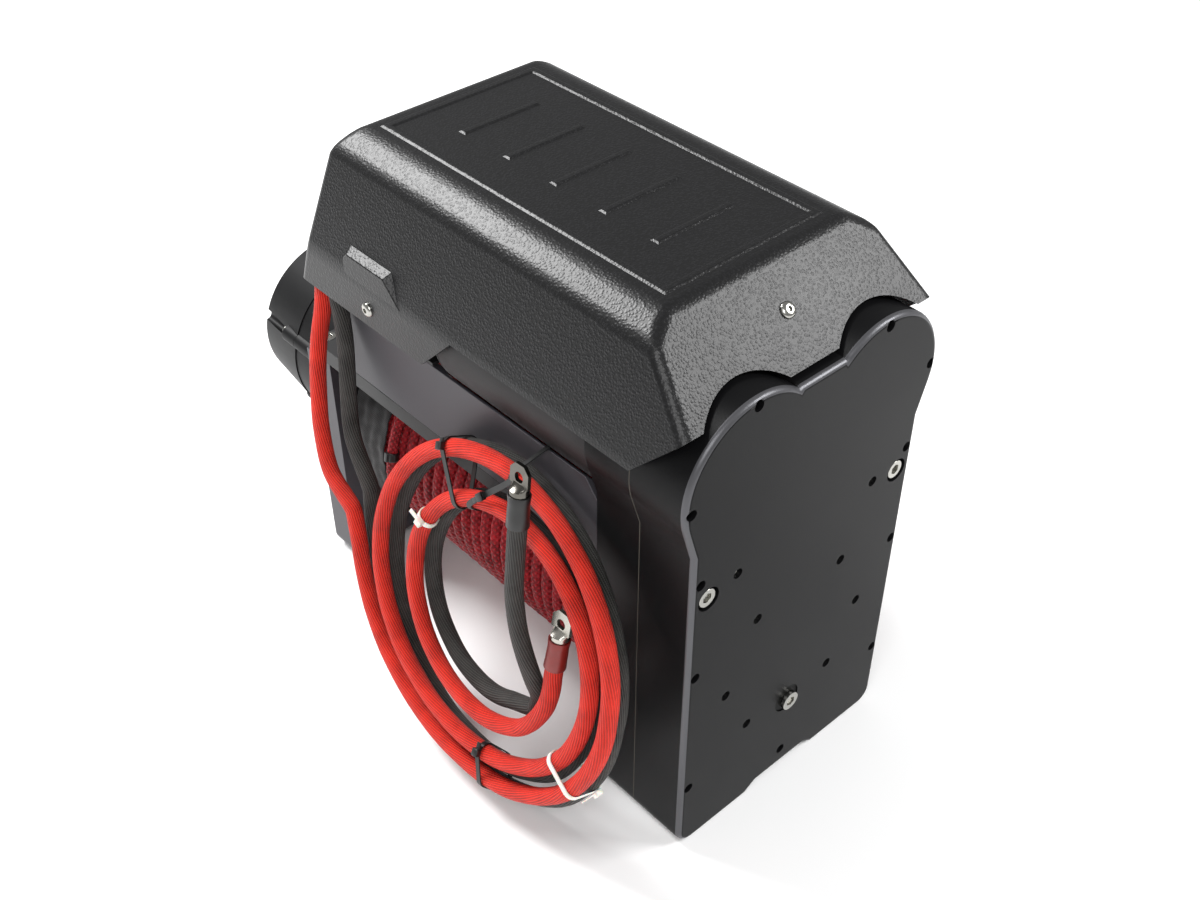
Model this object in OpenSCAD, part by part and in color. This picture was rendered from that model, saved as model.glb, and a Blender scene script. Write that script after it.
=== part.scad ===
// Electric recovery winch: two motors side by side above a rope drum, a gear housing at the +X end,
// a planetary gearbox at the -X end, tie bars and plates between them, and a moulded cover on top.
// Millimetres, +Z up. The origin is on the ground, midway between the outer faces of the two ends.

/* [Frame] */
// Distance between the outer faces of the two ends
frame_length = 472; // [460:1:500]
// Height of the tie bars' underside above the drum axis
tie_bar_rise = 82; // [76:1:86]
// Thickness of the left end
left_thick = 35; // [28:1:40]
// Height of the drum axis above the ground
drum_z = 152; // [150:1:156]
// Thickness of the tie bars
tie_bar_thick = 15; // [12:1:16]
// Thickness of the tie plates
tie_plate_thick = 6; // [4:0.5:6]

/* [Gear housing] */
// Length of the whole gear housing along the drum axis
case_length = 95; // [93:1:100]
// Length of its outer half
case_outer_length = 52; // [51:1:55]
// Wall round the gear space
case_wall = 15; // [13:1:16]
// Thickness of the outer end wall
case_end_wall = 14; // [12:1:15]
// Thickness of the inner end wall
case_inner_wall = 12; // [10:1:13]

/* [Gears] */
// Module of every gear
gear_module = 2; // [1.96:0.01:2.02]
// Face width of the spur gears
gear_face = 20; // [16:1:22]
// Room between the largest gear's tips and the side walls, which sets the depth of the frame
gear_side_room = 16.2; // [15:0.1:18]
// Play between meshed teeth, measured on each gear
backlash = 0.15; // [0.1:0.05:0.25]

/* [Motors] */
// Outer radius of a motor
motor_radius = 63.3; // [60:0.1:63.3]
// Half the distance between the motor axes
motor_y = 63.6; // [63.6:0.1:65]
// Share of the drum bay's length that the contactor pack takes; the motors take what is left
pack_share = 0.3129; // [0.3:0.0001:0.33]
// Wall of the motor case
motor_wall = 5; // [3:0.5:6]

/* [Drum and rope] */
// Radius of the drum barrel
barrel_radius = 32; // [31:1:40]
// Room between the drum flanges and the front and rear of the frame
flange_room = 4; // [3:0.5:6]
// Thickness of a drum flange
flange_thick = 6; // [4:1:8]
// Height of the flange rims above the wound rope
flange_rim = 5; // [4:0.5:8]
// Diameter of the rope
rope_d = 12; // [10:0.5:12]
// Turns of rope in the outer layer
rope_turns = 24; // [12:1:24]

/* [Gearbox] */
// Length of the ring gear housing
ring_length = 84; // [84:1:90]
// Radius of the ring gear housing
ring_radius = 84; // [80:1:86]
// Length of the gearbox cap
cap_length = 61; // [56:1:66]

/* [Cover] */
// Wall of the moulded cover
cover_wall = 3; // [2:0.5:4]
// Height of the cover's top above the motor axes
cover_rise = 107.8; // [105:0.2:111]
// Width by which the cover stands out over each side of the frame
cover_overhang = 18.5; // [17:0.5:20]

/* [Leads] */
// Diameter of each battery lead
lead_d = 14.6; // [12:0.2:14.6]
// Thickness of a lug
lug_thick = 3; // [2:0.5:4]
// Radius of the hole in a lug
lug_hole_radius = 4.25; // [3.25:0.25:5]

/* [Hidden] */
$fn = 64;
overrun = 1;
running_gap = 0.05;
seat_gap = 0.3;

// Colours of the finishes
satin_grey = [0.42, 0.40, 0.41];
dark_grey = [0.27, 0.26, 0.27];
black_paint = [0.12, 0.12, 0.12];
black_plastic = [0.18, 0.18, 0.18];
zinc = [0.80, 0.80, 0.78];
steel = [0.62, 0.63, 0.65];
brass = [0.80, 0.65, 0.32];
red_rubber = [0.82, 0.20, 0.14];
black_rubber = [0.14, 0.13, 0.13];
rope_red = [0.70, 0.14, 0.17];
clear_plastic = [0.88, 0.88, 0.85];

// Planes across the drum axis
end_x = frame_length / 2;
case_x = end_x - case_length;
seam_x = end_x - case_outer_length;
left_inner_x = left_thick - end_x;
left_height = drum_z + tie_bar_rise;
ring_x = -end_x - ring_length;
cap_x = ring_x - cap_length;

// Teeth of the spur train and of the two planetary stages
drive_teeth = 46;
idler_teeth = 83;
pinion_teeth = 17;
brake_teeth = 18;
sun_teeth = 14;
planet_teeth = 25;
ring_teeth = 64;
pressure_angle = 25;
addendum = 0.9 * gear_module;
dedendum = 1.15 * gear_module;

function pitch_radius(teeth) = teeth * gear_module / 2;

// Depth of the frame, front to rear, round the largest gear
half_depth = pitch_radius(idler_teeth) + addendum + gear_side_room + case_wall;
frame_depth = 2 * half_depth;
flange_radius = half_depth - flange_room;
wound_radius = flange_radius - flange_rim;

// Axes of the train, each in mesh with the next
idler_z = drum_z + pitch_radius(drive_teeth) + pitch_radius(idler_teeth);
brake_z = drum_z - pitch_radius(drive_teeth) - pitch_radius(brake_teeth);
motor_reach = pitch_radius(idler_teeth) + pitch_radius(pinion_teeth);
motor_z = idler_z + sqrt(motor_reach * motor_reach - motor_y * motor_y);
planet_orbit = pitch_radius(sun_teeth) + pitch_radius(planet_teeth);
planet_angles = [0, 120, 240];

// Tooth profile: half the tooth's angle at a radius, from the involute of its base circle
function involute_angle(radius, base) =
    radius <= base ? 0 : tan(acos(base / radius)) * 180 / PI - acos(base / radius);
function half_tooth(teeth, radius, play) =
    let (pitch = pitch_radius(teeth), base = pitch * cos(pressure_angle))
    90 / teeth - play * 90 / (PI * pitch) + involute_angle(pitch, base) - involute_angle(radius, base);
function tooth_levels(low, high) = [for (i = [0 : 3]) low + (high - low) * i / 3];
function on_circle(radius, angle) = [radius * cos(angle), radius * sin(angle)];
function toothed_outline(teeth, low, high, play, phase) =
    let (levels = tooth_levels(low, high))
    [
        for (tooth = [0 : teeth - 1], step = [0 : 7])
            let (level = levels[step < 4 ? step : 7 - step], side = step < 4 ? -1 : 1)
            on_circle(level, phase + tooth * 360 / teeth + side * half_tooth(teeth, level, play))
    ];

// Where a gear's first tooth points, so that it meshes with a neighbour that lies at an angle from it
function meshed_phase(angle, phase, teeth_a, teeth_b) =
    angle + 180 - (phase - angle) * teeth_a / teeth_b - 180 / teeth_b;
idler_phase = meshed_phase(90, 0, drive_teeth, idler_teeth);
brake_phase = meshed_phase(-90, 0, drive_teeth, brake_teeth);
motor_angle = atan2(motor_z - idler_z, motor_y);

// Layers in the gear housing
gear_inset = 45;
gear_x0 = case_x + gear_inset;
gear_x1 = gear_x0 + gear_face;
carrier_thick = 12;
carrier_x = end_x - case_end_wall - carrier_thick;

// Outline of the gear housing, seen along the drum axis
corner_radius = 15;
sole_rise = 7;
sole_share = 0.24;
sole_slope = 12;
shoulder_drop = 45;
shoulder_z = motor_z - shoulder_drop;
flare_angle = -17;
saddle_y = 22;
saddle_rise = 50.3;
saddle_z = motor_z + saddle_rise;
cavity_floor = sole_rise + case_wall;

module spur_gear(teeth, x0, length, bore, phase, y, z) {
    pitch = pitch_radius(teeth);
    translate([x0, y, z])
        rotate([90, 0, 90])
            linear_extrude(length)
                difference() {
                    polygon(toothed_outline(teeth, pitch - dedendum, pitch + addendum, backlash, phase));
                    if (bore > 0) circle(r = bore);
                }
}
module along_x(x0, length) {
    translate([x0, 0, 0]) rotate([90, 0, 90]) linear_extrude(length) children();
}
module along_y(y0, length) {
    translate([0, y0 + length, 0]) rotate([90, 0, 0]) linear_extrude(length) children();
}
module rod_x(x0, x1, radius, y = 0, z = 0) {
    translate([x0, y, z]) rotate([0, 90, 0]) cylinder(h = x1 - x0, r = radius);
}
module pipe_x(x0, x1, outer, inner, y = 0, z = 0) {
    difference() {
        rod_x(x0, x1, outer, y, z);
        rod_x(x0 - overrun, x1 + overrun, inner, y, z);
    }
}
module box_between(low, high) {
    translate(low) cube(high - low);
}
module both_sides() {
    children();
    mirror([0, 1, 0]) children();
}

// Gear housing
module case_outline() {
    half = [
        [0, sole_rise],
        [half_depth * sole_share, sole_rise],
        [half_depth * sole_share + sole_slope, 0],
        [half_depth - corner_radius, 0],
        [half_depth, corner_radius],
        [half_depth, shoulder_z],
        [motor_y, motor_z] + on_circle(motor_radius, flare_angle),
        [motor_y, motor_z],
        [saddle_y, saddle_z],
        [0, saddle_z]
    ];
    for (side = [0, 1])
        mirror([side, 0]) {
            polygon(half);
            translate([motor_y, motor_z]) circle(r = motor_radius);
            translate([half_depth - corner_radius, corner_radius]) circle(r = corner_radius);
        }
}
module cavity_outline() {
    reach = half_depth - case_wall;
    half = [
        [0, cavity_floor],
        [reach, cavity_floor],
        [reach, shoulder_z],
        [motor_y, motor_z] + on_circle(motor_radius - case_wall, flare_angle),
        [motor_y, motor_z],
        [saddle_y, saddle_z - case_wall],
        [0, saddle_z - case_wall]
    ];
    for (side = [0, 1])
        mirror([side, 0]) {
            polygon(half);
            translate([motor_y, motor_z]) circle(r = motor_radius - case_wall);
        }
}

// Screws of the gear housing: heights on the side walls, angles on the lobes, one low in the middle
case_screw_radius = 3;
case_head_radius = 4.1;
case_head_length = 5;
case_head_sink = 30;
screw_clear = 0.3;
head_clear = 0.2;
side_screw_shares = [0.192, 0.541, 0.799];
lobe_screw_angles = [-1, 89];
lobe_screw_inset = 6;
lobe_screw_radius = motor_radius - lobe_screw_inset;
side_screw_y = half_depth - case_wall / 2;
low_screw_rise = 3;
low_screw_z = cavity_floor + low_screw_rise;
low_boss_radius = 10;
case_screw_places = concat(
    [[0, low_screw_z]],
    [for (side = [-1, 1], share = side_screw_shares) [side * side_screw_y, share * motor_z]],
    [for (side = [-1, 1], angle = lobe_screw_angles)
        [side * (motor_y + lobe_screw_radius * cos(angle)), motor_z + lobe_screw_radius * sin(angle)]]
);
carrier_bolt_circle = 74;
carrier_bolt_angles = [52, -3, -51];
idler_bolt_circle = 72;
idler_bolt_angle = -6;
carrier_screw_places = concat(
    [for (side = [-1, 1], angle = carrier_bolt_angles)
        [side * carrier_bolt_circle * cos(angle), drum_z + carrier_bolt_circle * sin(angle)]],
    [for (side = [-1, 1])
        [side * idler_bolt_circle * cos(idler_bolt_angle), idler_z + idler_bolt_circle * sin(idler_bolt_angle)]]
);
carrier_head_sink = 8;
dowel_inset = 16;
dowel_y = half_depth - dowel_inset;
dowel_drop = 13;
dowel_z = idler_z - dowel_drop;
dowel_radius = 6;
dowel_recess_radius = 10;
dowel_recess = 9;
dowel_boss_radius = 14;
dowel_head_radius = 7.8;
dowel_head_length = 8;
dowel_depth = 14;
hub_radius = 13;
thread_depth = 16;
gasket_thick = 0.8;
brake_cup_radius = 42;
brake_cup_wall = 4;
brake_cup_length = 27;
shaft_radius = 7;
idler_shaft_radius = 10;
brake_shaft_radius = 9;
ball_bearing_radius = 21;
seat_depth = 8;

module hex_screw_x(face_x, y, z, head_r, head_l, shank_r, shank_l) {
    // A socket-head screw that points to -X, with the underside of its head at face_x
    difference() {
        union() {
            rod_x(face_x, face_x + head_l, head_r, y, z);
            rod_x(face_x - shank_l, face_x, shank_r, y, z);
        }
        translate([face_x + head_l / 2, y, z])
            rotate([0, 90, 0])
                cylinder(h = head_l, r = head_r * 0.55, $fn = 6);
    }
}
module cavity_bosses() {
    for (side = [-1, 1]) translate([side * dowel_y, dowel_z]) circle(r = dowel_boss_radius);
    translate([0, low_screw_z]) circle(r = low_boss_radius);
    translate([-low_boss_radius, sole_rise]) square([2 * low_boss_radius, low_screw_z - sole_rise]);
    for (side = [0, 1])
        mirror([side, 0])
            translate([dowel_y, dowel_z - dowel_boss_radius])
                square([half_depth - dowel_y - case_wall / 2, 2 * dowel_boss_radius]);
}
// Base bolts: threaded holes in the soles of both ends
base_bolt_edge = 26;
base_bolt_x = end_x - left_thick / 2;
base_bolt_y = half_depth - base_bolt_edge;
base_bolt_radius = 5.1;
base_bolt_depth = 12;
module base_holes() {
    for (x = [-base_bolt_x, base_bolt_x], side = [-1, 1])
        translate([x, side * base_bolt_y, -overrun])
            cylinder(h = base_bolt_depth + overrun, r = base_bolt_radius);
}
module gear_case_outer() {
    x0 = seam_x + gasket_thick / 2;
    wall_x = end_x - case_end_wall;
    color(black_paint)
    difference() {
        along_x(x0, end_x - x0) case_outline();
        along_x(x0 - overrun, wall_x - x0 + overrun)
            difference() {
                cavity_outline();
                cavity_bosses();
            }
        rod_x(wall_x - overrun, end_x + overrun, hub_radius, 0, brake_z);
        for (place = case_screw_places) {
            rod_x(end_x - case_head_sink, end_x + overrun, case_head_radius + head_clear, place[0], place[1]);
            rod_x(x0 - overrun, end_x, case_screw_radius + screw_clear, place[0], place[1]);
        }
        for (place = carrier_screw_places) {
            rod_x(end_x - carrier_head_sink, end_x + overrun,
                case_head_radius + head_clear, place[0], place[1]);
            rod_x(wall_x - overrun, end_x, case_screw_radius + screw_clear, place[0], place[1]);
        }
        for (side = [-1, 1]) {
            rod_x(end_x - dowel_recess, end_x + overrun, dowel_recess_radius, side * dowel_y, dowel_z);
            rod_x(x0 - overrun, end_x, dowel_radius + screw_clear, side * dowel_y, dowel_z);
        }
        base_holes();
    }
}
module gear_case_gasket() {
    x0 = seam_x - gasket_thick / 2;
    color([0.35, 0.33, 0.28])
    difference() {
        along_x(x0, gasket_thick) case_outline();
        along_x(x0 - overrun, gasket_thick + 2 * overrun)
            difference() {
                cavity_outline();
                cavity_bosses();
            }
        for (place = case_screw_places)
            rod_x(x0 - overrun, x0 + gasket_thick + overrun,
                case_screw_radius + screw_clear, place[0], place[1]);
        for (side = [-1, 1])
            rod_x(x0 - overrun, x0 + gasket_thick + overrun,
                dowel_radius + screw_clear, side * dowel_y, dowel_z);
    }
}

journal_radius = 28;
bush_radius = 34;
motor_pilot_radius = 22;
module gear_case_inner() {
    x1 = seam_x - gasket_thick / 2;
    wall_x = case_x + case_inner_wall;
    cup_end = wall_x + brake_cup_length;
    color(black_paint)
    difference() {
        union() {
            difference() {
                along_x(case_x, x1 - case_x) case_outline();
                along_x(wall_x, x1 - wall_x + overrun)
                    difference() {
                        cavity_outline();
                        cavity_bosses();
                    }
            }
            pipe_x(wall_x - overrun, cup_end, brake_cup_radius, brake_cup_radius - brake_cup_wall, 0, brake_z);
        }
        rod_x(case_x - overrun, wall_x + overrun, bush_radius, 0, drum_z);
        for (side = [-1, 1])
            rod_x(case_x - overrun, wall_x + overrun, motor_pilot_radius, side * motor_y, motor_z);
        rod_x(wall_x - seat_depth, wall_x + overrun, ball_bearing_radius, 0, idler_z);
        rod_x(wall_x - seat_depth, wall_x + overrun, brake_shaft_radius + running_gap, 0, brake_z);
        for (place = case_screw_places)
            rod_x(x1 - thread_depth, x1 + overrun, case_screw_radius + running_gap, place[0], place[1]);
        for (side = [-1, 1])
            rod_x(x1 - thread_depth, x1 + overrun, dowel_radius + running_gap, side * dowel_y, dowel_z);
    }
}
module case_screws() {
    x1 = seam_x - gasket_thick / 2;
    perimeter_x = end_x - case_head_sink;
    carrier_head_x = end_x - carrier_head_sink;
    color(zinc) {
        for (place = case_screw_places)
            hex_screw_x(perimeter_x, place[0], place[1], case_head_radius, case_head_length,
                case_screw_radius, perimeter_x - x1 + thread_depth - overrun);
        for (place = carrier_screw_places)
            hex_screw_x(carrier_head_x, place[0], place[1], case_head_radius, case_head_length,
                case_screw_radius, carrier_head_x - carrier_x - overrun);
    }
}
module dowel_bolts() {
    x1 = seam_x - gasket_thick / 2;
    head_x = end_x - dowel_recess;
    color(zinc)
    for (side = [-1, 1])
        hex_screw_x(head_x, side * dowel_y, dowel_z, dowel_head_radius, dowel_head_length,
            dowel_radius, head_x - x1 + dowel_depth);
}
carrier_radius = 84;
carrier_top_radius = 80;
module bearing_carrier() {
    color(satin_grey)
    difference() {
        along_x(carrier_x, carrier_thick)
            union() {
                translate([0, drum_z]) circle(r = carrier_radius);
                translate([0, idler_z]) circle(r = carrier_top_radius);
                translate([-carrier_top_radius, drum_z]) square([2 * carrier_top_radius, idler_z - drum_z]);
            }
        for (z = [drum_z, idler_z])
            rod_x(carrier_x - overrun, carrier_x + carrier_thick + overrun, ball_bearing_radius, 0, z);
        rod_x(carrier_x - overrun, carrier_x + carrier_thick + overrun, hub_radius + overrun, 0, brake_z);
        for (place = carrier_screw_places)
            rod_x(carrier_x - overrun, carrier_x + carrier_thick + overrun,
                case_screw_radius + running_gap, place[0], place[1]);
    }
}

// Heights of the cover, and where the shelf, the contactor pack and the motors end
cover_top = motor_z + cover_rise;
bevel_drop = 12.5;
tip_drop = 55.5;
fold_drop = 93;
skirt_drop = 130;
bevel_z = cover_top - bevel_drop;
tip_z = cover_top - tip_drop;
fold_z = cover_top - fold_drop;
skirt_z = cover_top - skirt_drop;
shelf_inset = 46;
shelf_margin = 20;
pack_start = 18;
shelf_x0 = shelf_inset - end_x;
pack_x0 = shelf_x0 + pack_start;
pack_length = pack_share * (case_x - left_inner_x);
pack_x1 = pack_x0 + pack_length;
shelf_x1 = pack_x1 + shelf_margin;
motor_shelf_gap = 13;
motor_end_x = shelf_x1 + motor_shelf_gap;

// Left end, tie bars and tie plates
hump_radius = 95;
sole_arch_share = 0.55;
tie_bar_depth = 26;
tie_bar_end = 12;
tie_plate_drop = 18;
tie_plate_end = 70;
tie_chamfer_x = 12;
tie_chamfer_z = 14;
tie_screw_radius = 4;
tie_screw_head = 6.5;
tie_screw_sink = 5;
tie_screw_depth = 22;
tie_screw_x = left_inner_x - left_thick / 2;
tie_screw_y = half_depth - tie_bar_depth / 2;
bar_z = left_height;
plate_z = bar_z + tie_bar_thick;
plate_top = skirt_z - tie_plate_drop;
motor_clear = 1;
arch_half = half_depth * sole_arch_share;
module left_frame() {
    color(satin_grey)
    difference() {
        along_x(-end_x, left_thick)
            difference() {
                union() {
                    translate([-half_depth, corner_radius]) square([frame_depth, left_height - corner_radius]);
                    translate([corner_radius - half_depth, 0])
                        square([frame_depth - 2 * corner_radius, corner_radius]);
                    for (side = [-1, 1])
                        translate([side * (half_depth - corner_radius), corner_radius])
                            circle(r = corner_radius);
                    translate([0, drum_z]) circle(r = hump_radius);
                }
                translate([-arch_half, -overrun]) square([2 * arch_half, sole_rise + overrun]);
                translate([0, drum_z]) circle(r = bush_radius);
            }
        for (side = [-1, 1])
            translate([tie_screw_x, side * tie_screw_y, left_height - tie_screw_depth])
                cylinder(h = tie_screw_depth + overrun, r = tie_screw_radius + running_gap);
        base_holes();
    }
}
module tie_bar() {
    color(dark_grey)
    difference() {
        box_between([tie_bar_end - end_x, -half_depth, bar_z], [case_x, tie_bar_depth - half_depth, plate_z]);
        translate([tie_screw_x, -tie_screw_y, bar_z - overrun])
            cylinder(h = tie_bar_thick + 2 * overrun, r = tie_screw_radius + screw_clear);
        translate([tie_screw_x, -tie_screw_y, plate_z - tie_screw_sink])
            cylinder(h = tie_screw_sink + overrun, r = tie_screw_head + screw_clear);
    }
}
module tie_plate() {
    x0 = tie_plate_end - end_x;
    color(satin_grey)
    difference() {
        along_y(-half_depth, tie_plate_thick)
            polygon([
                [x0, plate_z],
                [case_x, plate_z],
                [case_x, plate_top - tie_chamfer_z],
                [case_x - tie_chamfer_x, plate_top],
                [x0 + tie_chamfer_x, plate_top],
                [x0, plate_top - tie_chamfer_z]
            ]);
        rod_x(motor_end_x - overrun, case_x + overrun, motor_radius + motor_clear, -motor_y, motor_z);
    }
}
module tie_bar_front() { tie_bar(); }
module tie_bar_rear() { mirror([0, 1, 0]) tie_bar(); }
module tie_plate_front() { tie_plate(); }
module tie_plate_rear() { mirror([0, 1, 0]) tie_plate(); }
module tie_screws() {
    color(zinc)
    for (side = [-1, 1])
        translate([tie_screw_x, side * tie_screw_y, 0])
            difference() {
                union() {
                    translate([0, 0, left_height - tie_screw_depth + overrun])
                        cylinder(h = tie_bar_thick + tie_screw_depth - tie_screw_sink - overrun,
                            r = tie_screw_radius);
                    translate([0, 0, plate_z - tie_screw_sink])
                        cylinder(h = tie_screw_sink, r = tie_screw_head);
                }
                translate([0, 0, plate_z - tie_screw_sink / 2])
                    cylinder(h = tie_screw_sink, r = tie_screw_head * 0.55, $fn = 6);
            }
}

// Motors
end_cap_length = 8;
end_cap_round = 8;
bell_thick = 10;
armature_shaft_radius = 8;
motor_bearing_radius = 16;
magnet_thick = 10;
magnet_gap = 0.6;
magnet_share = 0.7;
magnet_spread = 60;
armature_radius = 40;
commutator_radius = 22;
commutator_length = 20;
brush_ring_thick = 4;
cap_bearing_radius = 12;
cap_boss_radius = 16;
box_bearing_radius = 14;
cap_inner_x = motor_end_x + end_cap_length;
brush_start = 12;
brush_x = cap_inner_x + brush_start;
brush_width = 9;
brush_length = 14;
brush_gap = 0.3;
magnet_x = brush_x + brush_length + magnet_gap;
magnet_length = magnet_share * (case_x - bell_thick - magnet_x);
module motor_case(side) {
    color([0.26, 0.25, 0.26])
    translate([0, side * motor_y, motor_z])
        difference() {
            rod_x(cap_inner_x, case_x, motor_radius);
            rod_x(cap_inner_x - overrun, case_x - bell_thick, motor_radius - motor_wall);
            rod_x(cap_inner_x, case_x + overrun, motor_bearing_radius);
        }
}
module front_motor_case() { motor_case(-1); }
module rear_motor_case() { motor_case(1); }
module motor_end_caps() {
    color([0.26, 0.25, 0.26])
    for (side = [-1, 1])
        translate([motor_end_x, side * motor_y, motor_z])
            rotate([0, 90, 0])
                difference() {
                    union() {
                        rotate_extrude()
                            intersection() {
                                union() {
                                    square([motor_radius - end_cap_round, end_cap_length]);
                                    translate([motor_radius - end_cap_round, end_cap_round])
                                        circle(r = end_cap_round);
                                }
                                square([motor_radius, end_cap_length]);
                            }
                        cylinder(h = end_cap_length + seat_depth, r = cap_boss_radius);
                    }
                    translate([0, 0, end_cap_length])
                        cylinder(h = seat_depth + overrun, r = cap_bearing_radius);
                    translate([0, 0, end_cap_length / 2])
                        cylinder(h = end_cap_length, r = armature_shaft_radius + running_gap);
                }
}
module sector(radius, spread, middle) {
    // A wedge that cuts an arc out of a ring
    reach = 2 * radius;
    polygon([[0, 0], on_circle(reach, middle - spread / 2), on_circle(reach, middle + spread / 2)]);
}
module motor_magnets() {
    outer = motor_radius - motor_wall - running_gap;
    color(dark_grey)
    for (side = [-1, 1], quarter = [0 : 3])
        translate([0, side * motor_y, motor_z])
            along_x(magnet_x, magnet_length)
                intersection() {
                    difference() {
                        circle(r = outer);
                        circle(r = outer - magnet_thick);
                    }
                    sector(outer, magnet_spread, quarter * 90);
                }
}
module motor_brushes() {
    outer = motor_radius - motor_wall - running_gap;
    color(brass)
    for (side = [-1, 1])
        translate([0, side * motor_y, motor_z])
            difference() {
                union() {
                    pipe_x(brush_x, brush_x + brush_ring_thick, outer, commutator_radius + magnet_thick);
                    for (quarter = [0 : 3])
                        rotate([quarter * 90, 0, 0])
                            box_between([brush_x, -brush_width / 2, commutator_radius],
                                [brush_x + brush_length, brush_width / 2, outer - magnet_thick]);
                }
                rod_x(brush_x - overrun, brush_x + brush_length + overrun, commutator_radius + brush_gap);
            }
}
module armature(side) {
    angle = side > 0 ? motor_angle : 180 - motor_angle;
    phase = meshed_phase(angle, idler_phase, idler_teeth, pinion_teeth);
    color(steel)
    union() {
        translate([0, side * motor_y, motor_z]) {
            rod_x(motor_end_x + end_cap_length / 2 + overrun, gear_x0 + overrun, armature_shaft_radius);
            rod_x(magnet_x, magnet_x + magnet_length, armature_radius);
            rod_x(brush_x - overrun, brush_x + commutator_length, commutator_radius);
        }
        spur_gear(pinion_teeth, gear_x0, gear_face, 0, phase, side * motor_y, motor_z);
    }
}
module front_armature() { armature(-1); }
module rear_armature() { armature(1); }

// Bearings and bushes
module bearing_ring(x0, width, outer, inner, y, z) {
    groove = width / 6;
    difference() {
        pipe_x(x0, x0 + width, outer, inner, y, z);
        for (end = [x0 - overrun, x0 + width - groove])
            pipe_x(end, end + groove + overrun, outer * 0.85, inner + (outer - inner) * 0.3, y, z);
    }
}
module bearings() {
    wall_x = case_x + case_inner_wall;
    color(steel) {
        bearing_ring(carrier_x, carrier_thick, ball_bearing_radius, shaft_radius + running_gap, 0, drum_z);
        bearing_ring(carrier_x, carrier_thick, ball_bearing_radius,
            idler_shaft_radius + running_gap, 0, idler_z);
        bearing_ring(wall_x - seat_depth, seat_depth, ball_bearing_radius,
            idler_shaft_radius + running_gap, 0, idler_z);
        bearing_ring(ring_x - seat_depth, seat_depth, box_bearing_radius, shaft_radius + running_gap, 0,
            drum_z);
        for (side = [-1, 1]) {
            bearing_ring(case_x - bell_thick, bell_thick, motor_bearing_radius,
                armature_shaft_radius + running_gap, side * motor_y, motor_z);
            bearing_ring(cap_inner_x, seat_depth, cap_bearing_radius,
                armature_shaft_radius + running_gap, side * motor_y, motor_z);
        }
    }
}
module drum_bushes() {
    color(brass) {
        pipe_x(case_x, case_x + case_inner_wall, bush_radius, journal_radius + running_gap, 0, drum_z);
        pipe_x(-end_x, left_inner_x, bush_radius, journal_radius + running_gap, 0, drum_z);
    }
}

// Drum and rope
flange_gap = 4;
drum_x0 = left_inner_x + flange_gap;
drum_x1 = case_x - flange_gap;
shaft_clear = 2;
stub_length = 2;
module drum() {
    color([0.30, 0.30, 0.31])
    translate([0, 0, drum_z])
        difference() {
            union() {
                rod_x(-end_x - stub_length, case_x + case_inner_wall - overrun, journal_radius);
                rod_x(drum_x0, drum_x1, barrel_radius);
                rod_x(drum_x0, drum_x0 + flange_thick, flange_radius);
                rod_x(drum_x1 - flange_thick, drum_x1, flange_radius);
            }
            rod_x(-end_x - stub_length - overrun, case_x + case_inner_wall + overrun,
                shaft_radius + shaft_clear);
        }
}
rope_x0 = drum_x0 + flange_thick + seat_gap;
rope_x1 = drum_x1 - flange_thick - seat_gap;
rope_radius = rope_d / 2;
rope_line_radius = wound_radius - rope_radius;
rope_rings = 24;
rope_sides = 6;
core_radius = rope_line_radius * cos(180 / rope_rings) - rope_radius - seat_gap;
module rope_core() {
    color(rope_red)
    pipe_x(rope_x0, rope_x1, core_radius, barrel_radius + running_gap, 0, drum_z);
}

// A tube along a line of points: a ring of sides square to the line at each point
function direction(points, i) =
    let (last = len(points) - 1, step = points[min(i + 1, last)] - points[max(i - 1, 0)])
    step / norm(step);
function tube_ring(centre, along, up, radius, sides) =
    let (cross_way = cross(along, up), side = cross_way / norm(cross_way), rise = cross(side, along))
    [for (k = [0 : sides - 1]) centre + radius * (cos(k * 360 / sides) * side + sin(k * 360 / sides) * rise)];
module tube(points, ups, radius, sides) {
    count = len(points);
    rings = [for (i = [0 : count - 1]) tube_ring(points[i], direction(points, i), ups[i], radius, sides)];
    vertices = [for (ring = rings, vertex = ring) vertex];
    walls = [
        for (i = [0 : count - 2], k = [0 : sides - 1])
            let (a = i * sides + k, b = i * sides + (k + 1) % sides)
            each [[a, b, a + sides], [b, b + sides, a + sides]]
    ];
    first_end = [for (k = [1 : sides - 2]) [0, k + 1, k]];
    base = (count - 1) * sides;
    last_end = [for (k = [1 : sides - 2]) [base, base + k, base + k + 1]];
    polyhedron(vertices, concat(walls, first_end, last_end));
}
rope_pitch = (rope_x1 - rope_x0 - rope_d) / rope_turns;
function rope_point(i) =
    let (angle = i * 360 / rope_rings)
    [rope_x0 + rope_radius + rope_pitch * i / rope_rings,
        rope_line_radius * cos(angle), drum_z + rope_line_radius * sin(angle)];
rope_points = [for (i = [0 : rope_turns * rope_rings]) rope_point(i)];
module rope_layer() {
    ups = [for (point = rope_points) [1, 0, 0]];
    color(rope_red) tube(rope_points, ups, rope_radius, rope_sides);
}
echo(least_gap_between_rope_turns = rope_pitch - rope_d);

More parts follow.
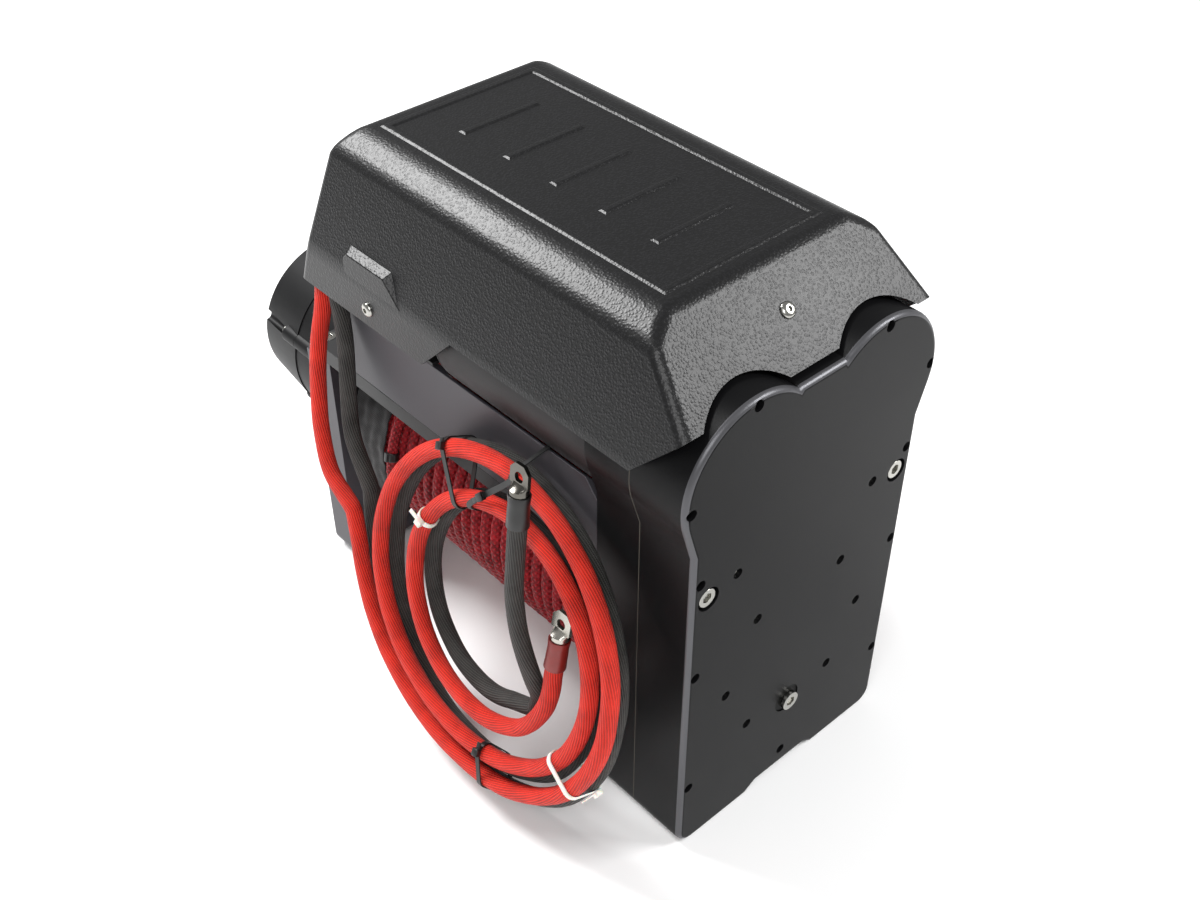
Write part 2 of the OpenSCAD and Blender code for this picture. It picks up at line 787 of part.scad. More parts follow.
// The rope's end lies on the turns in front, under a sleeve of cloth beside it
rope_end_d = 10;
rope_end_inset = 69.6;
rope_end_x = drum_x0 + rope_end_inset;
rope_end_lift = 0.35;
rope_end_from_angle = 136;
rope_end_span_angle = 50;
rope_end_rings = 12;
rope_end_line = wound_radius + rope_end_lift + rope_end_d / 2;
module rope_end() {
    points = [
        for (i = [0 : rope_end_rings])
            let (angle = rope_end_from_angle + rope_end_span_angle * i / rope_end_rings)
            [rope_end_x, rope_end_line * cos(angle), drum_z + rope_end_line * sin(angle)]
    ];
    color(rope_red) tube(points, [for (point = points) [1, 0, 0]], rope_end_d / 2, 8);
}
sleeve_thick = 4;
sleeve_from_angle = 130;
sleeve_span_angle = 115;
sleeve_width = 48;
module rope_sleeve() {
    inner = wound_radius + seat_gap;
    color(black_rubber)
    along_x(rope_x0, sleeve_width)
        translate([0, drum_z])
            intersection() {
                difference() {
                    circle(r = inner + sleeve_thick);
                    circle(r = inner);
                }
                sector(inner, sleeve_span_angle, sleeve_from_angle + sleeve_span_angle / 2);
            }
}

// Planetary gearbox: two stages in one ring gear
carrier_disc_radius = 54;
output_disc_thick = 10;
first_disc_thick = 7;
pin_radius = 6;
planet_face = 24;
stage_gap = 2;
output_disc_x = -end_x - stub_length - output_disc_thick;
second_x0 = output_disc_x - stage_gap - planet_face;
first_disc_x = second_x0 - stage_gap - first_disc_thick;
first_x0 = first_disc_x - stage_gap - planet_face;
module planet(x0, place) {
    angle = planet_angles[place];
    phase = meshed_phase(angle, 0, sun_teeth, planet_teeth);
    spot = on_circle(planet_orbit, angle);
    color(steel) spur_gear(planet_teeth, x0, planet_face, pin_radius, phase, spot[0], drum_z + spot[1]);
}
module carrier_pins(x0, x1) {
    for (angle = planet_angles)
        rod_x(x0, x1, pin_radius - running_gap, planet_orbit * cos(angle), drum_z + planet_orbit * sin(angle));
}
module output_carrier() {
    color(satin_grey)
    union() {
        pipe_x(output_disc_x, output_disc_x + output_disc_thick, carrier_disc_radius,
            shaft_radius + shaft_clear, 0, drum_z);
        carrier_pins(second_x0 - overrun, output_disc_x + overrun);
    }
}
module first_carrier() {
    color(satin_grey)
    union() {
        pipe_x(first_disc_x, first_disc_x + first_disc_thick, carrier_disc_radius,
            shaft_radius + running_gap, 0, drum_z);
        carrier_pins(first_x0 - overrun, first_disc_x + overrun);
        spur_gear(sun_teeth, first_disc_x + first_disc_thick, planet_face + stage_gap,
            shaft_radius + running_gap, 0, 0, drum_z);
    }
}
module first_planet_1() { planet(first_x0, 0); }
module first_planet_2() { planet(first_x0, 1); }
module first_planet_3() { planet(first_x0, 2); }
module second_planet_1() { planet(second_x0, 0); }
module second_planet_2() { planet(second_x0, 1); }
module second_planet_3() { planet(second_x0, 2); }
module drive_shaft() {
    color(steel)
    union() {
        rod_x(ring_x - seat_depth, carrier_x + carrier_thick - overrun, shaft_radius, 0, drum_z);
        spur_gear(sun_teeth, first_x0, planet_face, 0, 0, 0, drum_z);
    }
}
gear_hub_length = 3;
gear_hub_radius = 14;
module output_gear() {
    color(steel)
    union() {
        spur_gear(drive_teeth, gear_x0, gear_face, shaft_radius + running_gap, 0, 0, drum_z);
        pipe_x(gear_x1 - overrun, gear_x1 + gear_hub_length, gear_hub_radius, shaft_radius + running_gap, 0,
            drum_z);
    }
}
module idler_gear() {
    wall_x = case_x + case_inner_wall;
    color(steel)
    union() {
        spur_gear(idler_teeth, gear_x0, gear_face, 0, idler_phase, 0, idler_z);
        rod_x(wall_x - seat_depth + overrun, carrier_x + carrier_thick - overrun, idler_shaft_radius, 0,
            idler_z);
        rod_x(wall_x + overrun, carrier_x - overrun, gear_hub_radius, 0, idler_z);
    }
}
hub_gap = 0.08;
module brake_shaft() {
    wall_x = case_x + case_inner_wall;
    color(black_paint)
    difference() {
        union() {
            rod_x(wall_x - seat_depth + overrun, carrier_x, brake_shaft_radius, 0, brake_z);
            rod_x(gear_x1 + overrun, end_x - overrun, hub_radius - hub_gap, 0, brake_z);
            spur_gear(brake_teeth, gear_x0, gear_face, 0, brake_phase, 0, brake_z);
        }
        rod_x(end_x - thread_depth, end_x + overrun, hub_bolt_radius + running_gap, 0, brake_z);
    }
}
brake_disc_thick = 3;
brake_disc_count = 4;
brake_disc_step = 6;
module brake_discs() {
    x0 = case_x + case_inner_wall + stage_gap;
    color([0.45, 0.36, 0.26])
    for (i = [0 : brake_disc_count - 1])
        pipe_x(x0 + i * brake_disc_step, x0 + i * brake_disc_step + brake_disc_thick,
            brake_cup_radius - brake_cup_wall - seat_gap, brake_shaft_radius + running_gap, 0, brake_z);
}
hub_bolt_radius = 5;
hub_bolt_head = 8.2;
hub_bolt_head_length = 9;
hub_bolt_proud = 4.5;
module hub_bolt() {
    face = end_x - overrun;
    color(zinc)
    hex_screw_x(face, 0, brake_z, hub_bolt_head, hub_bolt_proud + overrun, hub_bolt_radius,
        thread_depth - 2 * overrun);
}

// Ring gear housing and cap
ring_flange = 12;
ring_flange_radius = 90;
boss_radius = 9;
boss_inset = 5;
boss_circle = ring_radius - boss_inset;
boss_count = 6;
boss_first_angle = 42;
cap_front_radius = 78;
cap_flare = 1;
cap_back_radius = ring_radius + cap_flare;
cap_wall = 12;
cap_boss_length = 20;
box_screw_radius = 3;
box_screw_head = 5;
box_screw_length = 18;
boss_angles = [for (i = [0 : boss_count - 1]) boss_first_angle + i * 360 / boss_count];
module at_bosses() {
    for (angle = boss_angles)
        translate([0, boss_circle * cos(angle), drum_z + boss_circle * sin(angle)]) children();
}
module ring_gear_housing() {
    pitch = pitch_radius(ring_teeth);
    color(dark_grey)
    difference() {
        union() {
            rod_x(ring_x, -end_x, ring_radius, 0, drum_z);
            rod_x(-end_x - ring_flange, -end_x, ring_flange_radius, 0, drum_z);
            at_bosses() rod_x(ring_x, -end_x, boss_radius);
        }
        along_x(ring_x - overrun, ring_length + 2 * overrun)
            translate([0, drum_z])
                polygon(toothed_outline(ring_teeth, pitch - addendum, pitch + dedendum, -backlash, 0));
        at_bosses() rod_x(ring_x - overrun, ring_x + box_screw_length, box_screw_radius + running_gap);
    }
}
clutch_spindle_radius = 8;
module gearbox_cap() {
    color(dark_grey)
    difference() {
        union() {
            translate([cap_x, 0, drum_z]) rotate([0, 90, 0])
                cylinder(h = cap_length, r1 = cap_front_radius, r2 = cap_back_radius);
            at_bosses() rod_x(ring_x - cap_boss_length, ring_x, boss_radius);
        }
        difference() {
            rod_x(cap_x + cap_wall, ring_x + overrun, cap_front_radius - cap_wall, 0, drum_z);
            rod_x(cap_x, ring_x + 2 * overrun, cap_boss_radius + seat_depth, 0, drum_z);
        }
        rod_x(ring_x - seat_depth, ring_x + 3 * overrun, box_bearing_radius, 0, drum_z);
        rod_x(cap_x - overrun, ring_x - seat_depth - 2 * overrun, clutch_spindle_radius + running_gap, 0,
            drum_z);
        at_bosses() rod_x(ring_x - cap_boss_length - overrun, ring_x + overrun, box_screw_radius + screw_clear);
        at_bosses() rod_x(cap_x, ring_x - cap_boss_length, box_screw_head + head_clear);
    }
}
module gearbox_screws() {
    head_x = ring_x - cap_boss_length;
    color(zinc)
    at_bosses()
        difference() {
            union() {
                rod_x(head_x - case_head_length, head_x, box_screw_head);
                rod_x(head_x, ring_x + box_screw_length - overrun, box_screw_radius);
            }
            translate([head_x - 1.5 * case_head_length, 0, 0])
                rotate([0, 90, 0])
                    cylinder(h = case_head_length, r = box_screw_radius, $fn = 6);
        }
}
knob_radius = 24;
knob_thick = 12;
knob_gap = 1;
knob_bar_thick = 6;
knob_bar_width = 12;
module clutch_knob() {
    knob_x = cap_x - knob_gap - knob_thick;
    color(black_paint)
    translate([0, 0, drum_z])
        union() {
            rod_x(knob_x + overrun, cap_x + cap_wall + cap_length / 3, clutch_spindle_radius);
            rod_x(knob_x, knob_x + knob_thick, knob_radius);
            box_between([knob_x - knob_bar_thick, -knob_radius, -knob_bar_width / 2],
                [knob_x + overrun, knob_radius, knob_bar_width / 2]);
        }
}

// Cover: a section seen along X crossed with a side outline seen along Y, made hollow
slope_width = 26.5;
bevel_width = 21;
side_half = half_depth + cover_overhang;
bevel_half = side_half - slope_width;
top_half = bevel_half - bevel_width;
// Insets of the cover's ends from the outer faces of the two ends, at the top and down the left slope
right_top_inset = 64;
left_top_inset = 79;
left_bevel_inset = 67;
left_fold_inset = 56;
left_skirt_inset = 42;
// The right end face slopes at 45 degrees, so X plus Z is the same all over it
end_sum = end_x - right_top_inset + cover_top;
cover_x_top = left_top_inset - end_x;
cover_x_bevel = left_bevel_inset - end_x;
cover_x_fold = left_fold_inset - end_x;
cover_x_skirt = left_skirt_inset - end_x;
pad_start = 75;
pad_length = 43;
pad_slant = 16;
pad_height = 23;
pad_x0 = cover_x_skirt + pad_start;
pad_x1 = pad_x0 + pad_length;
pad_z = fold_z + pad_height;
saddle_clear = 3.7;
saddle_lift = 3.5;
rib_inset = 10;
rib_dashes = 5;
rib_height = 1.2;
rib_width = 3;
module cover_section(inset) {
    half = [
        [0, cover_top - inset],
        [top_half - inset / 3, cover_top - inset],
        [bevel_half - inset * 0.87, bevel_z - inset * 0.7],
        [side_half - inset, fold_z - inset * 0.16],
        [side_half - inset, skirt_z - inset * 20 / 3],
        [0, skirt_z - inset * 20 / 3]
    ];
    for (side = [0, 1]) mirror([side, 0]) polygon(half);
}
module cover_side_outline() {
    polygon([
        [cover_x_top, cover_top],
        [end_sum - cover_top, cover_top],
        [end_sum - tip_z, tip_z],
        [end_sum - tip_z - (tip_z - fold_z) * 0.9, fold_z],
        [motor_end_x + fold_z - skirt_z, fold_z],
        [motor_end_x, skirt_z],
        [cover_x_skirt, skirt_z],
        [cover_x_fold, fold_z],
        [cover_x_bevel, bevel_z]
    ]);
}
module cover_hollow_outline() {
    low = skirt_z - 2 * case_wall;
    slope = (cover_x_fold - cover_x_skirt) / (fold_z - skirt_z);
    polygon([
        [cover_x_top + cover_wall * 0.6, cover_top - cover_wall],
        [end_sum - cover_top + cover_wall - cover_wall * sqrt(2), cover_top - cover_wall],
        [end_sum - low - cover_wall * sqrt(2), low],
        [cover_x_skirt + cover_wall * 1.07 - (skirt_z - low) * slope, low],
        [cover_x_fold + cover_wall * 1.05, fold_z],
        [cover_x_bevel + cover_wall * 1.03, bevel_z - cover_wall * 0.7]
    ]);
}
module cover_pad() {
    along_y(-side_half, side_half - bevel_half)
        polygon([
            [pad_x0, fold_z - overrun],
            [pad_x1 + pad_slant, fold_z - overrun],
            [pad_x1, pad_z],
            [pad_x0, pad_z]
        ]);
}
module cover_ribs() {
    x0 = cover_x_top + rib_inset;
    x1 = end_sum - cover_top - rib_inset;
    y1 = top_half - rib_inset;
    dash_step = (x1 - x0) / (rib_dashes + 1);
    translate([0, 0, cover_top - overrun])
        linear_extrude(rib_height + overrun) {
            difference() {
                translate([x0, -y1]) square([x1 - x0, 2 * y1]);
                translate([x0 + rib_width, rib_width - y1])
                    square([x1 - x0 - 2 * rib_width, 2 * (y1 - rib_width)]);
            }
            for (i = [1 : rib_dashes])
                translate([x0 + i * dash_step - rib_width, -y1 / 2]) square([2 * rib_width, y1]);
        }
}
cover_screw_radius = 3;
bracket_screw_rise = 16;
bracket_screw_z = skirt_z + bracket_screw_rise;
bracket_x = (pad_x0 + pad_x1) / 2;
post_screw_out = 26.5;
post_screw_x = end_sum - cover_top + post_screw_out;
module on_end_face() {
    // A frame on the sloping end face, with +Z along its normal
    translate([post_screw_x, 0, end_sum - post_screw_x]) rotate([0, 45, 0]) children();
}
module cover() {
    length = end_sum - tip_z - cover_x_skirt;
    color(black_plastic)
    difference() {
        union() {
            intersection() {
                along_x(cover_x_skirt, length) cover_section(0);
                along_y(-side_half - overrun, 2 * (side_half + overrun)) cover_side_outline();
            }
            both_sides() cover_pad();
            cover_ribs();
        }
        intersection() {
            along_x(cover_x_skirt - length, 3 * length) cover_section(cover_wall);
            along_y(-side_half, 2 * side_half) cover_hollow_outline();
        }
        for (side = [-1, 1])
            rod_x(case_x, end_x + case_length, motor_radius + saddle_clear, side * motor_y, motor_z);
        box_between([case_x, -motor_y, fold_z - case_wall],
            [end_x + case_length, motor_y, saddle_z + saddle_lift]);
        both_sides()
            translate([bracket_x, 0, bracket_screw_z])
                rotate([90, 0, 0])
                    cylinder(h = side_half + overrun, r = cover_screw_radius + screw_clear);
        on_end_face() translate([0, 0, -2 * cover_wall])
            cylinder(h = 4 * cover_wall, r = cover_screw_radius + screw_clear);
    }
}
screw_head_radius = 6;
screw_head_thick = 3;
cover_screw_length = 14;
module cover_screw() {
    // Points to -Z with the underside of its head at zero
    difference() {
        union() {
            cylinder(h = screw_head_thick, r = screw_head_radius);
            translate([0, 0, -cover_screw_length]) cylinder(h = cover_screw_length, r = cover_screw_radius);
        }
        translate([0, 0, screw_head_thick / 2])
            cylinder(h = screw_head_thick, r = cover_screw_radius * 0.7, $fn = 6);
    }
}
module cover_screws() {
    color(zinc) {
        both_sides() translate([bracket_x, -side_half, bracket_screw_z]) rotate([90, 0, 0]) cover_screw();
        on_end_face() cover_screw();
    }
}

// Shelf on the tie plates, and what carries the cover
shelf_thick = 3;
shelf_z = plate_top;
shelf_top = shelf_z + shelf_thick;
module cover_shelf() {
    color(dark_grey)
    box_between([shelf_x0, -half_depth, shelf_z], [shelf_x1, half_depth, shelf_top]);
}
bracket_half = 12;
bracket_depth = 16;
bracket_head = 20;
post_back = 43;
post_length = 26;
post_x0 = end_sum - saddle_z - post_back;
post_x1 = post_x0 + post_length;
post_half = 14;
module cover_bracket() {
    head_y = side_half - cover_wall - seat_gap;
    difference() {
        union() {
            box_between([bracket_x - bracket_half, -half_depth, shelf_top],
                [bracket_x + bracket_half, bracket_depth - half_depth, bracket_screw_z + bracket_head / 2]);
            box_between([bracket_x - bracket_half, -head_y, bracket_screw_z - bracket_head / 2],
                [bracket_x + bracket_half, bracket_depth - half_depth, bracket_screw_z + bracket_head / 2]);
        }
        translate([bracket_x, 0, bracket_screw_z])
            rotate([90, 0, 0])
                cylinder(h = side_half, r = cover_screw_radius + running_gap);
    }
}
module cover_brackets() {
    inner_sum = end_sum - cover_wall * sqrt(2) - seat_gap * sqrt(2);
    color(satin_grey) {
        both_sides() cover_bracket();
        difference() {
            along_y(-post_half, 2 * post_half)
                polygon([
                    [post_x0, saddle_z],
                    [post_x1, saddle_z],
                    [post_x1, inner_sum - post_x1],
                    [post_x0, inner_sum - post_x0]
                ]);
            on_end_face()
                translate([0, 0, -cover_wall - cover_screw_length])
                    cylinder(h = cover_screw_length + cover_wall, r = cover_screw_radius + running_gap);
        }
    }
}

// Contactor pack with its studs, and the bars to the motor studs
pack_half = 62;
pack_height = 63;
pack_top = shelf_top + pack_height;
stud_radius = 4;
stud_height = 16;
stud_y = 50;
stud_inset = 20;
stud_near_x = pack_x1 - stud_inset;
stud_far_x = pack_x0 + stud_inset;
motor_stud_inset = 37;
motor_stud_x = motor_end_x + motor_stud_inset;
stud_offset = motor_y - stud_y - stud_radius;
motor_stud_z = motor_z + sqrt(motor_radius * motor_radius - stud_offset * stud_offset);
bar_half = 7;
bar_thick = 2.5;
bar_step_back = 18;
bar_rise = 12;
bar_step_x = motor_end_x - bar_step_back;
socket_radius = 10;
socket_length = 8;
socket_inset = 7;
socket_spacing = 25;
socket_drop = 8;
red_socket_x = pack_x0 + socket_inset;
black_socket_x = red_socket_x + socket_spacing;
socket_z = pack_top - socket_drop;
module contactor() {
    color(black_plastic)
    difference() {
        union() {
            box_between([pack_x0, -pack_half, shelf_top], [pack_x1, pack_half, pack_top]);
            for (x = [red_socket_x, black_socket_x])
                translate([x, -pack_half, socket_z - socket_radius / 4])
                    rotate([90, 0, 0])
                        cylinder(h = socket_length, r = 0.9 * socket_radius);
        }
        for (x = [stud_far_x, stud_near_x], side = [-1, 1])
            translate([x, side * stud_y, pack_top - stud_height])
                cylinder(h = stud_height + overrun, r = stud_radius);
    }
}
module power_terminals() {
    bar_low = pack_top + bar_rise;
    bar_high = motor_stud_z + bar_rise;
    color(brass)
    for (side = [-1, 1])
        translate([0, side * stud_y, 0]) {
            translate([stud_far_x, 0, pack_top - stud_height]) cylinder(h = 2 * stud_height, r = stud_radius);
            union() {
                translate([stud_near_x, 0, pack_top - stud_height])
                    cylinder(h = 2 * stud_height, r = stud_radius);
                translate([motor_stud_x, 0, motor_stud_z + seat_gap])
                    cylinder(h = stud_height, r = stud_radius);
                along_y(-bar_half, 2 * bar_half)
                    polygon([
                        [stud_near_x - bar_half, bar_low],
                        [bar_step_x + bar_thick, bar_low],
                        [bar_step_x + bar_thick, bar_high],
                        [motor_stud_x + bar_half, bar_high],
                        [motor_stud_x + bar_half, bar_high + bar_thick],
                        [bar_step_x, bar_high + bar_thick],
                        [bar_step_x, bar_low + bar_thick],
                        [stud_near_x - bar_half, bar_low + bar_thick]
                    ]);
            }
        }
}

// Leads: each leaves its socket, passes the grommet and hangs into a coil that leans forward
lead_radius = lead_d / 2;
lead_gap = 0.3;
grommet_gap = 0.7;
exit_inset = 16;
exit_spacing = 19.4;
exit_stand = 7.7;
red_exit_x = cover_x_skirt + exit_inset;
black_exit_x = red_exit_x + exit_spacing;
exit_y = -half_depth - exit_stand;
grommet_lift = 1;
grommet_z = skirt_z + grommet_lift;
grommet_thick = 6;
grommet_wall = 1;
grommet_depth = 16;
module lead_grommet() {
    x0 = red_exit_x - lead_radius - grommet_gap - grommet_wall;
    x1 = black_exit_x + lead_radius + grommet_gap + grommet_wall;
    head_y = side_half - cover_wall - seat_gap;
    color(black_rubber)
    difference() {
        union() {
            box_between([x0, -head_y, grommet_z], [x1, grommet_depth - half_depth, grommet_z + grommet_thick]);
            box_between([x0, lead_gap - half_depth, shelf_top],
                [x1, grommet_depth - half_depth, grommet_z + overrun]);
        }
        for (x = [red_exit_x, black_exit_x])
            translate([x, exit_y, grommet_z - overrun])
                cylinder(h = grommet_thick + 2 * overrun, r = lead_radius + grommet_gap);
    }
}

// The coil's plane leans: forward by its lean for each millimetre down from the top
lean = 0.213;
lean_top_z = 290;
black_top_y = -127;
layer_step = 16.4;
red_top_y = black_top_y - layer_step;
coil_stretch = sqrt(1 + lean * lean);
plane_normal = [0, -1, lean] / coil_stretch;
red_centre = [72, 170];
black_centre = [68, 150];
red_coil_radius = 138;
black_coil_radius = 138;
// Turn number against the strand's share of the coil's radius
red_strand_shares = [
    [0.03, 1.20], [0.125, 1.12], [0.25, 1.04], [0.4, 1.05], [0.5, 0.99], [0.75, 1.00], [0.9, 0.96],
    [1.0, 0.98], [1.125, 0.96], [1.25, 0.88], [1.4, 0.87], [1.5, 0.86], [1.65, 0.81], [1.8, 0.70],
    [2.0, 0.63], [2.25, 0.64], [2.36, 0.65], [2.5, 0.56]
];
black_strand_shares = [
    [0.0, 1.19], [0.125, 1.09], [0.25, 1.01], [0.375, 1.05], [0.5, 0.97], [0.625, 1.03], [0.75, 1.10],
    [0.85, 1.04], [1.0, 0.92], [1.125, 0.91], [1.25, 0.87], [1.375, 0.90], [1.5, 0.81], [1.75, 0.84],
    [2.0, 0.56], [2.125, 0.47], [2.25, 0.44], [2.33, 0.44]
];
coil_rings = 24;
coil_sides = 6;
function coil_point(turn, shares, radius, centre, top_y) =
    let (r = radius * smooth_lookup(turn, shares), angle = 180 + 360 * turn,
        x = centre[0] + r * cos(angle), z = centre[1] + r * sin(angle) / coil_stretch)
    [x, top_y - (lean_top_z - z) * lean, z];
// The mean of the table over a twelfth of a turn rounds its corners
function smooth_lookup(turn, table) =
    let (width = 1 / 12)
    (lookup(turn - width, table) + 2 * lookup(turn, table) + lookup(turn + width, table)) / 4;
function coil_points(shares, radius, centre, top_y) =
    let (first = shares[0][0], last = shares[len(shares) - 1][0], steps = round((last - first) * coil_rings),
        bent = [for (i = [0 : steps]) coil_point(first + (last - first) * i / steps, shares, radius, centre, top_y)],
        entry = bent[0] - bent[1], leave = bent[steps] - bent[steps - 1])
    concat([bent[0] + lead_d * entry / norm(entry)], bent, [bent[steps] + lead_d * leave / norm(leave)]);
red_coil_line = coil_points(red_strand_shares, red_coil_radius, red_centre, red_top_y);
black_coil_line = coil_points(black_strand_shares, black_coil_radius, black_centre, black_top_y);
function least_gap(line) = min([
    for (i = [0 : len(line) - 1], j = [i + 6 : 1 : len(line) - 1]) norm(line[i] - line[j])
]) - lead_d;
echo(least_gap_in_red_coil = least_gap(red_coil_line));
echo(least_gap_in_black_coil = least_gap(black_coil_line));
red_start = red_coil_line[0];
red_finish = red_coil_line[len(red_coil_line) - 1];
black_start = black_coil_line[0];
black_finish = black_coil_line[len(black_coil_line) - 1];
// Hand-chosen points of the free stretches, between the socket and the coil, and from the coil to the lug
red_route = [
    [-165, -71, 374], [-165, -84, 374], [-167, -104, 370], [-173, -118, 359], [-178, -123.7, 346],
    [-178, -123.7, 333], [-175, -129, 312], [-169, -141, 285], [-161, -151, 255], [-149, -161, 220],
    [-131, -168, 188]
];
black_route = [
    [-140, -71, 374], [-140, -84, 374], [-144, -104, 370], [-153, -118, 359], [-158.6, -123.7, 346],
    [-158.6, -123.7, 333], [-155, -124.5, 312], [-149, -128, 285], [-141, -136, 250], [-128, -145, 215]
];
black_tail_route = [
    [131, -166, 130], [131, -171, 152], [128, -176, 182], [124, -178, 212], [121, -177, 242], [119, -173, 268],
    [118, -170, 287]
];
// A smooth curve through the route's points
function curve_point(a, b, c, d, t) =
    ((2 * b) + (c - a) * t + (2 * a - 5 * b + 4 * c - d) * t * t + (3 * b - a - 3 * c + d) * t * t * t) / 2;
function smooth_line(line, parts, before, after) =
    let (padded = concat([before], line, [after]))
    concat(
        [for (i = [0 : len(line) - 2], k = [0 : parts - 1])
            curve_point(padded[i], padded[i + 1], padded[i + 2], padded[i + 3], k / parts)],
        [line[len(line) - 1]]
    );
function across(line) = [for (point = line) [1, 0, 0]];
function level(line) = [for (point = line) plane_normal];
function unit(v) = v / norm(v);
cable_sides = 8;
route_parts = 2;
// A lead's line ends straight, square to the end of its coil
function lead_line(route, start, coil_line) =
    let (last = start + lead_d * unit(start - coil_line[1]))
    concat(smooth_line(concat(route, [last]), route_parts, 2 * route[0] - route[1], start), [start]);
module red_lead() {
    line = lead_line(red_route, red_start, red_coil_line);
    color(red_rubber) tube(line, across(line), lead_radius, cable_sides);
}
black_tail_last = len(black_tail_route) - 1;
black_way = unit(black_tail_route[black_tail_last] - black_tail_route[black_tail_last - 1]);
black_end = black_tail_route[black_tail_last] + lead_d * black_way;
module black_lead() {
    line = lead_line(black_route, black_start, black_coil_line);
    first = black_finish + lead_d * unit(black_finish - black_coil_line[len(black_coil_line) - 2]);
    bent = smooth_line(concat([first], black_tail_route), route_parts, black_finish, black_end);
    tail = concat([black_finish], bent, [black_end]);
    color(black_rubber) {
        tube(line, across(line), lead_radius, cable_sides);
        tube(tail, level(tail), lead_radius, cable_sides);
    }
}
module red_coil() {
    color(red_rubber) tube(red_coil_line, level(red_coil_line), lead_radius, coil_sides);
}
module black_coil() {
    color(black_rubber) tube(black_coil_line, level(black_coil_line), lead_radius, coil_sides);
}

// Lugs: a crimp barrel on the end of the lead, under a shrunk sleeve, and a flat eye beyond it
lug_barrel_length = 26;
lug_sleeve_wall = 1.2;
lug_eye_radius = 10.5;
lug_eye_reach = 20;
lug_grip = 4;
red_way = unit(red_finish - red_coil_line[len(red_coil_line) - 2]);
module at_lead_end(point, way) {
    // +Z runs on along the lead, and +X stays level with the coil's plane
    tilt = acos(way[2]);
    turn = atan2(way[1], way[0]);
    translate(point) rotate([0, 0, turn]) rotate([0, tilt, 0]) rotate([0, 0, -turn]) children();
}
module lug() {
    eye_z = lug_barrel_length + lug_eye_reach - lug_eye_radius;
    difference() {
        union() {
            cylinder(h = lug_barrel_length, r = lead_radius);
            translate([0, lug_thick / 2, eye_z]) rotate([90, 0, 0]) cylinder(h = lug_thick, r = lug_eye_radius);
            translate([-lug_eye_radius * 0.8, -lug_thick / 2, lug_barrel_length - overrun])
                cube([lug_eye_radius * 1.6, lug_thick, eye_z - lug_barrel_length + overrun]);
        }
        translate([0, lug_thick, eye_z]) rotate([90, 0, 0]) cylinder(h = 2 * lug_thick, r = lug_hole_radius);
    }
}
module red_lug() { color(brass) at_lead_end(red_finish, red_way) lug(); }
module black_lug() { color(brass) at_lead_end(black_end, black_way) lug(); }
module lug_sleeve() {
    difference() {
        translate([0, 0, -lug_grip]) cylinder(h = lug_barrel_length, r = lead_radius + lug_sleeve_wall);
        translate([0, 0, -lug_grip - overrun])
            cylinder(h = lug_barrel_length + 2 * overrun, r = lead_radius + running_gap);
    }
}
module lug_sleeves() {
    color(black_rubber) {
        at_lead_end(red_finish, red_way) lug_sleeve();
        at_lead_end(black_end, black_way) lug_sleeve();
    }
}

// Cable ties: flat rings round one strand, with a square head
tie_width = 4.5;
tie_thick = 1;
tie_gap = 0.3;
tie_head = 6;
// The head's side is that of the turned frame, so it changes where the strand runs down
module cable_tie(line, ring_index, head_side) {
    centre = line[ring_index];
    at_lead_end(centre, direction(line, ring_index))
        difference() {
            union() {
                translate([0, 0, -tie_width / 2]) cylinder(h = tie_width, r = lead_radius + tie_thick);
                translate([-tie_head / 2, head_side * (lead_radius + tie_head / 2) - tie_head / 2, -tie_head / 2])
                    cube(tie_head);
            }
            translate([0, 0, -tie_head]) cylinder(h = 2 * tie_head, r = lead_radius + tie_gap);
        }
}
module black_ties() {
    color(black_rubber) {
        cable_tie(red_coil_line, 20, -1);
        cable_tie(black_coil_line, 44, 1);
        cable_tie(black_coil_line, 32, 1);
    }
}
module clear_ties() {
    color(clear_plastic) {
        cable_tie(black_coil_line, 47, 1);
        cable_tie(red_coil_line, 10, -1);
    }
}

gear_case_outer();
gear_case_gasket();
gear_case_inner();
case_screws();
dowel_bolts();
bearing_carrier();
left_frame();
tie_bar_front();
tie_bar_rear();
tie_plate_front();
tie_plate_rear();
tie_screws();
front_motor_case();
rear_motor_case();
motor_end_caps();
motor_magnets();
motor_brushes();
power_terminals();
drum_bushes();
bearings();
ring_gear_housing();
gearbox_cap();
gearbox_screws();
cover();
cover_screws();
cover_shelf();
cover_brackets();
contactor();
lead_grommet();
red_lead();
red_coil();
red_lug();
black_lead();
black_coil();
black_lug();
lug_sleeves();
black_ties();
clear_ties();
drum();
rope_core();
rope_layer();
rope_end();
rope_sleeve();
output_carrier();
drive_shaft();
output_gear();
first_carrier();
first_planet_1();
first_planet_2();
first_planet_3();
second_planet_1();
second_planet_2();
second_planet_3();
idler_gear();
brake_shaft();
brake_discs();
hub_bolt();
front_armature();
rear_armature();
clutch_knob();
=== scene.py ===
import math
from contextlib import contextmanager

import bmesh
import bpy
from mathutils import Matrix, Vector


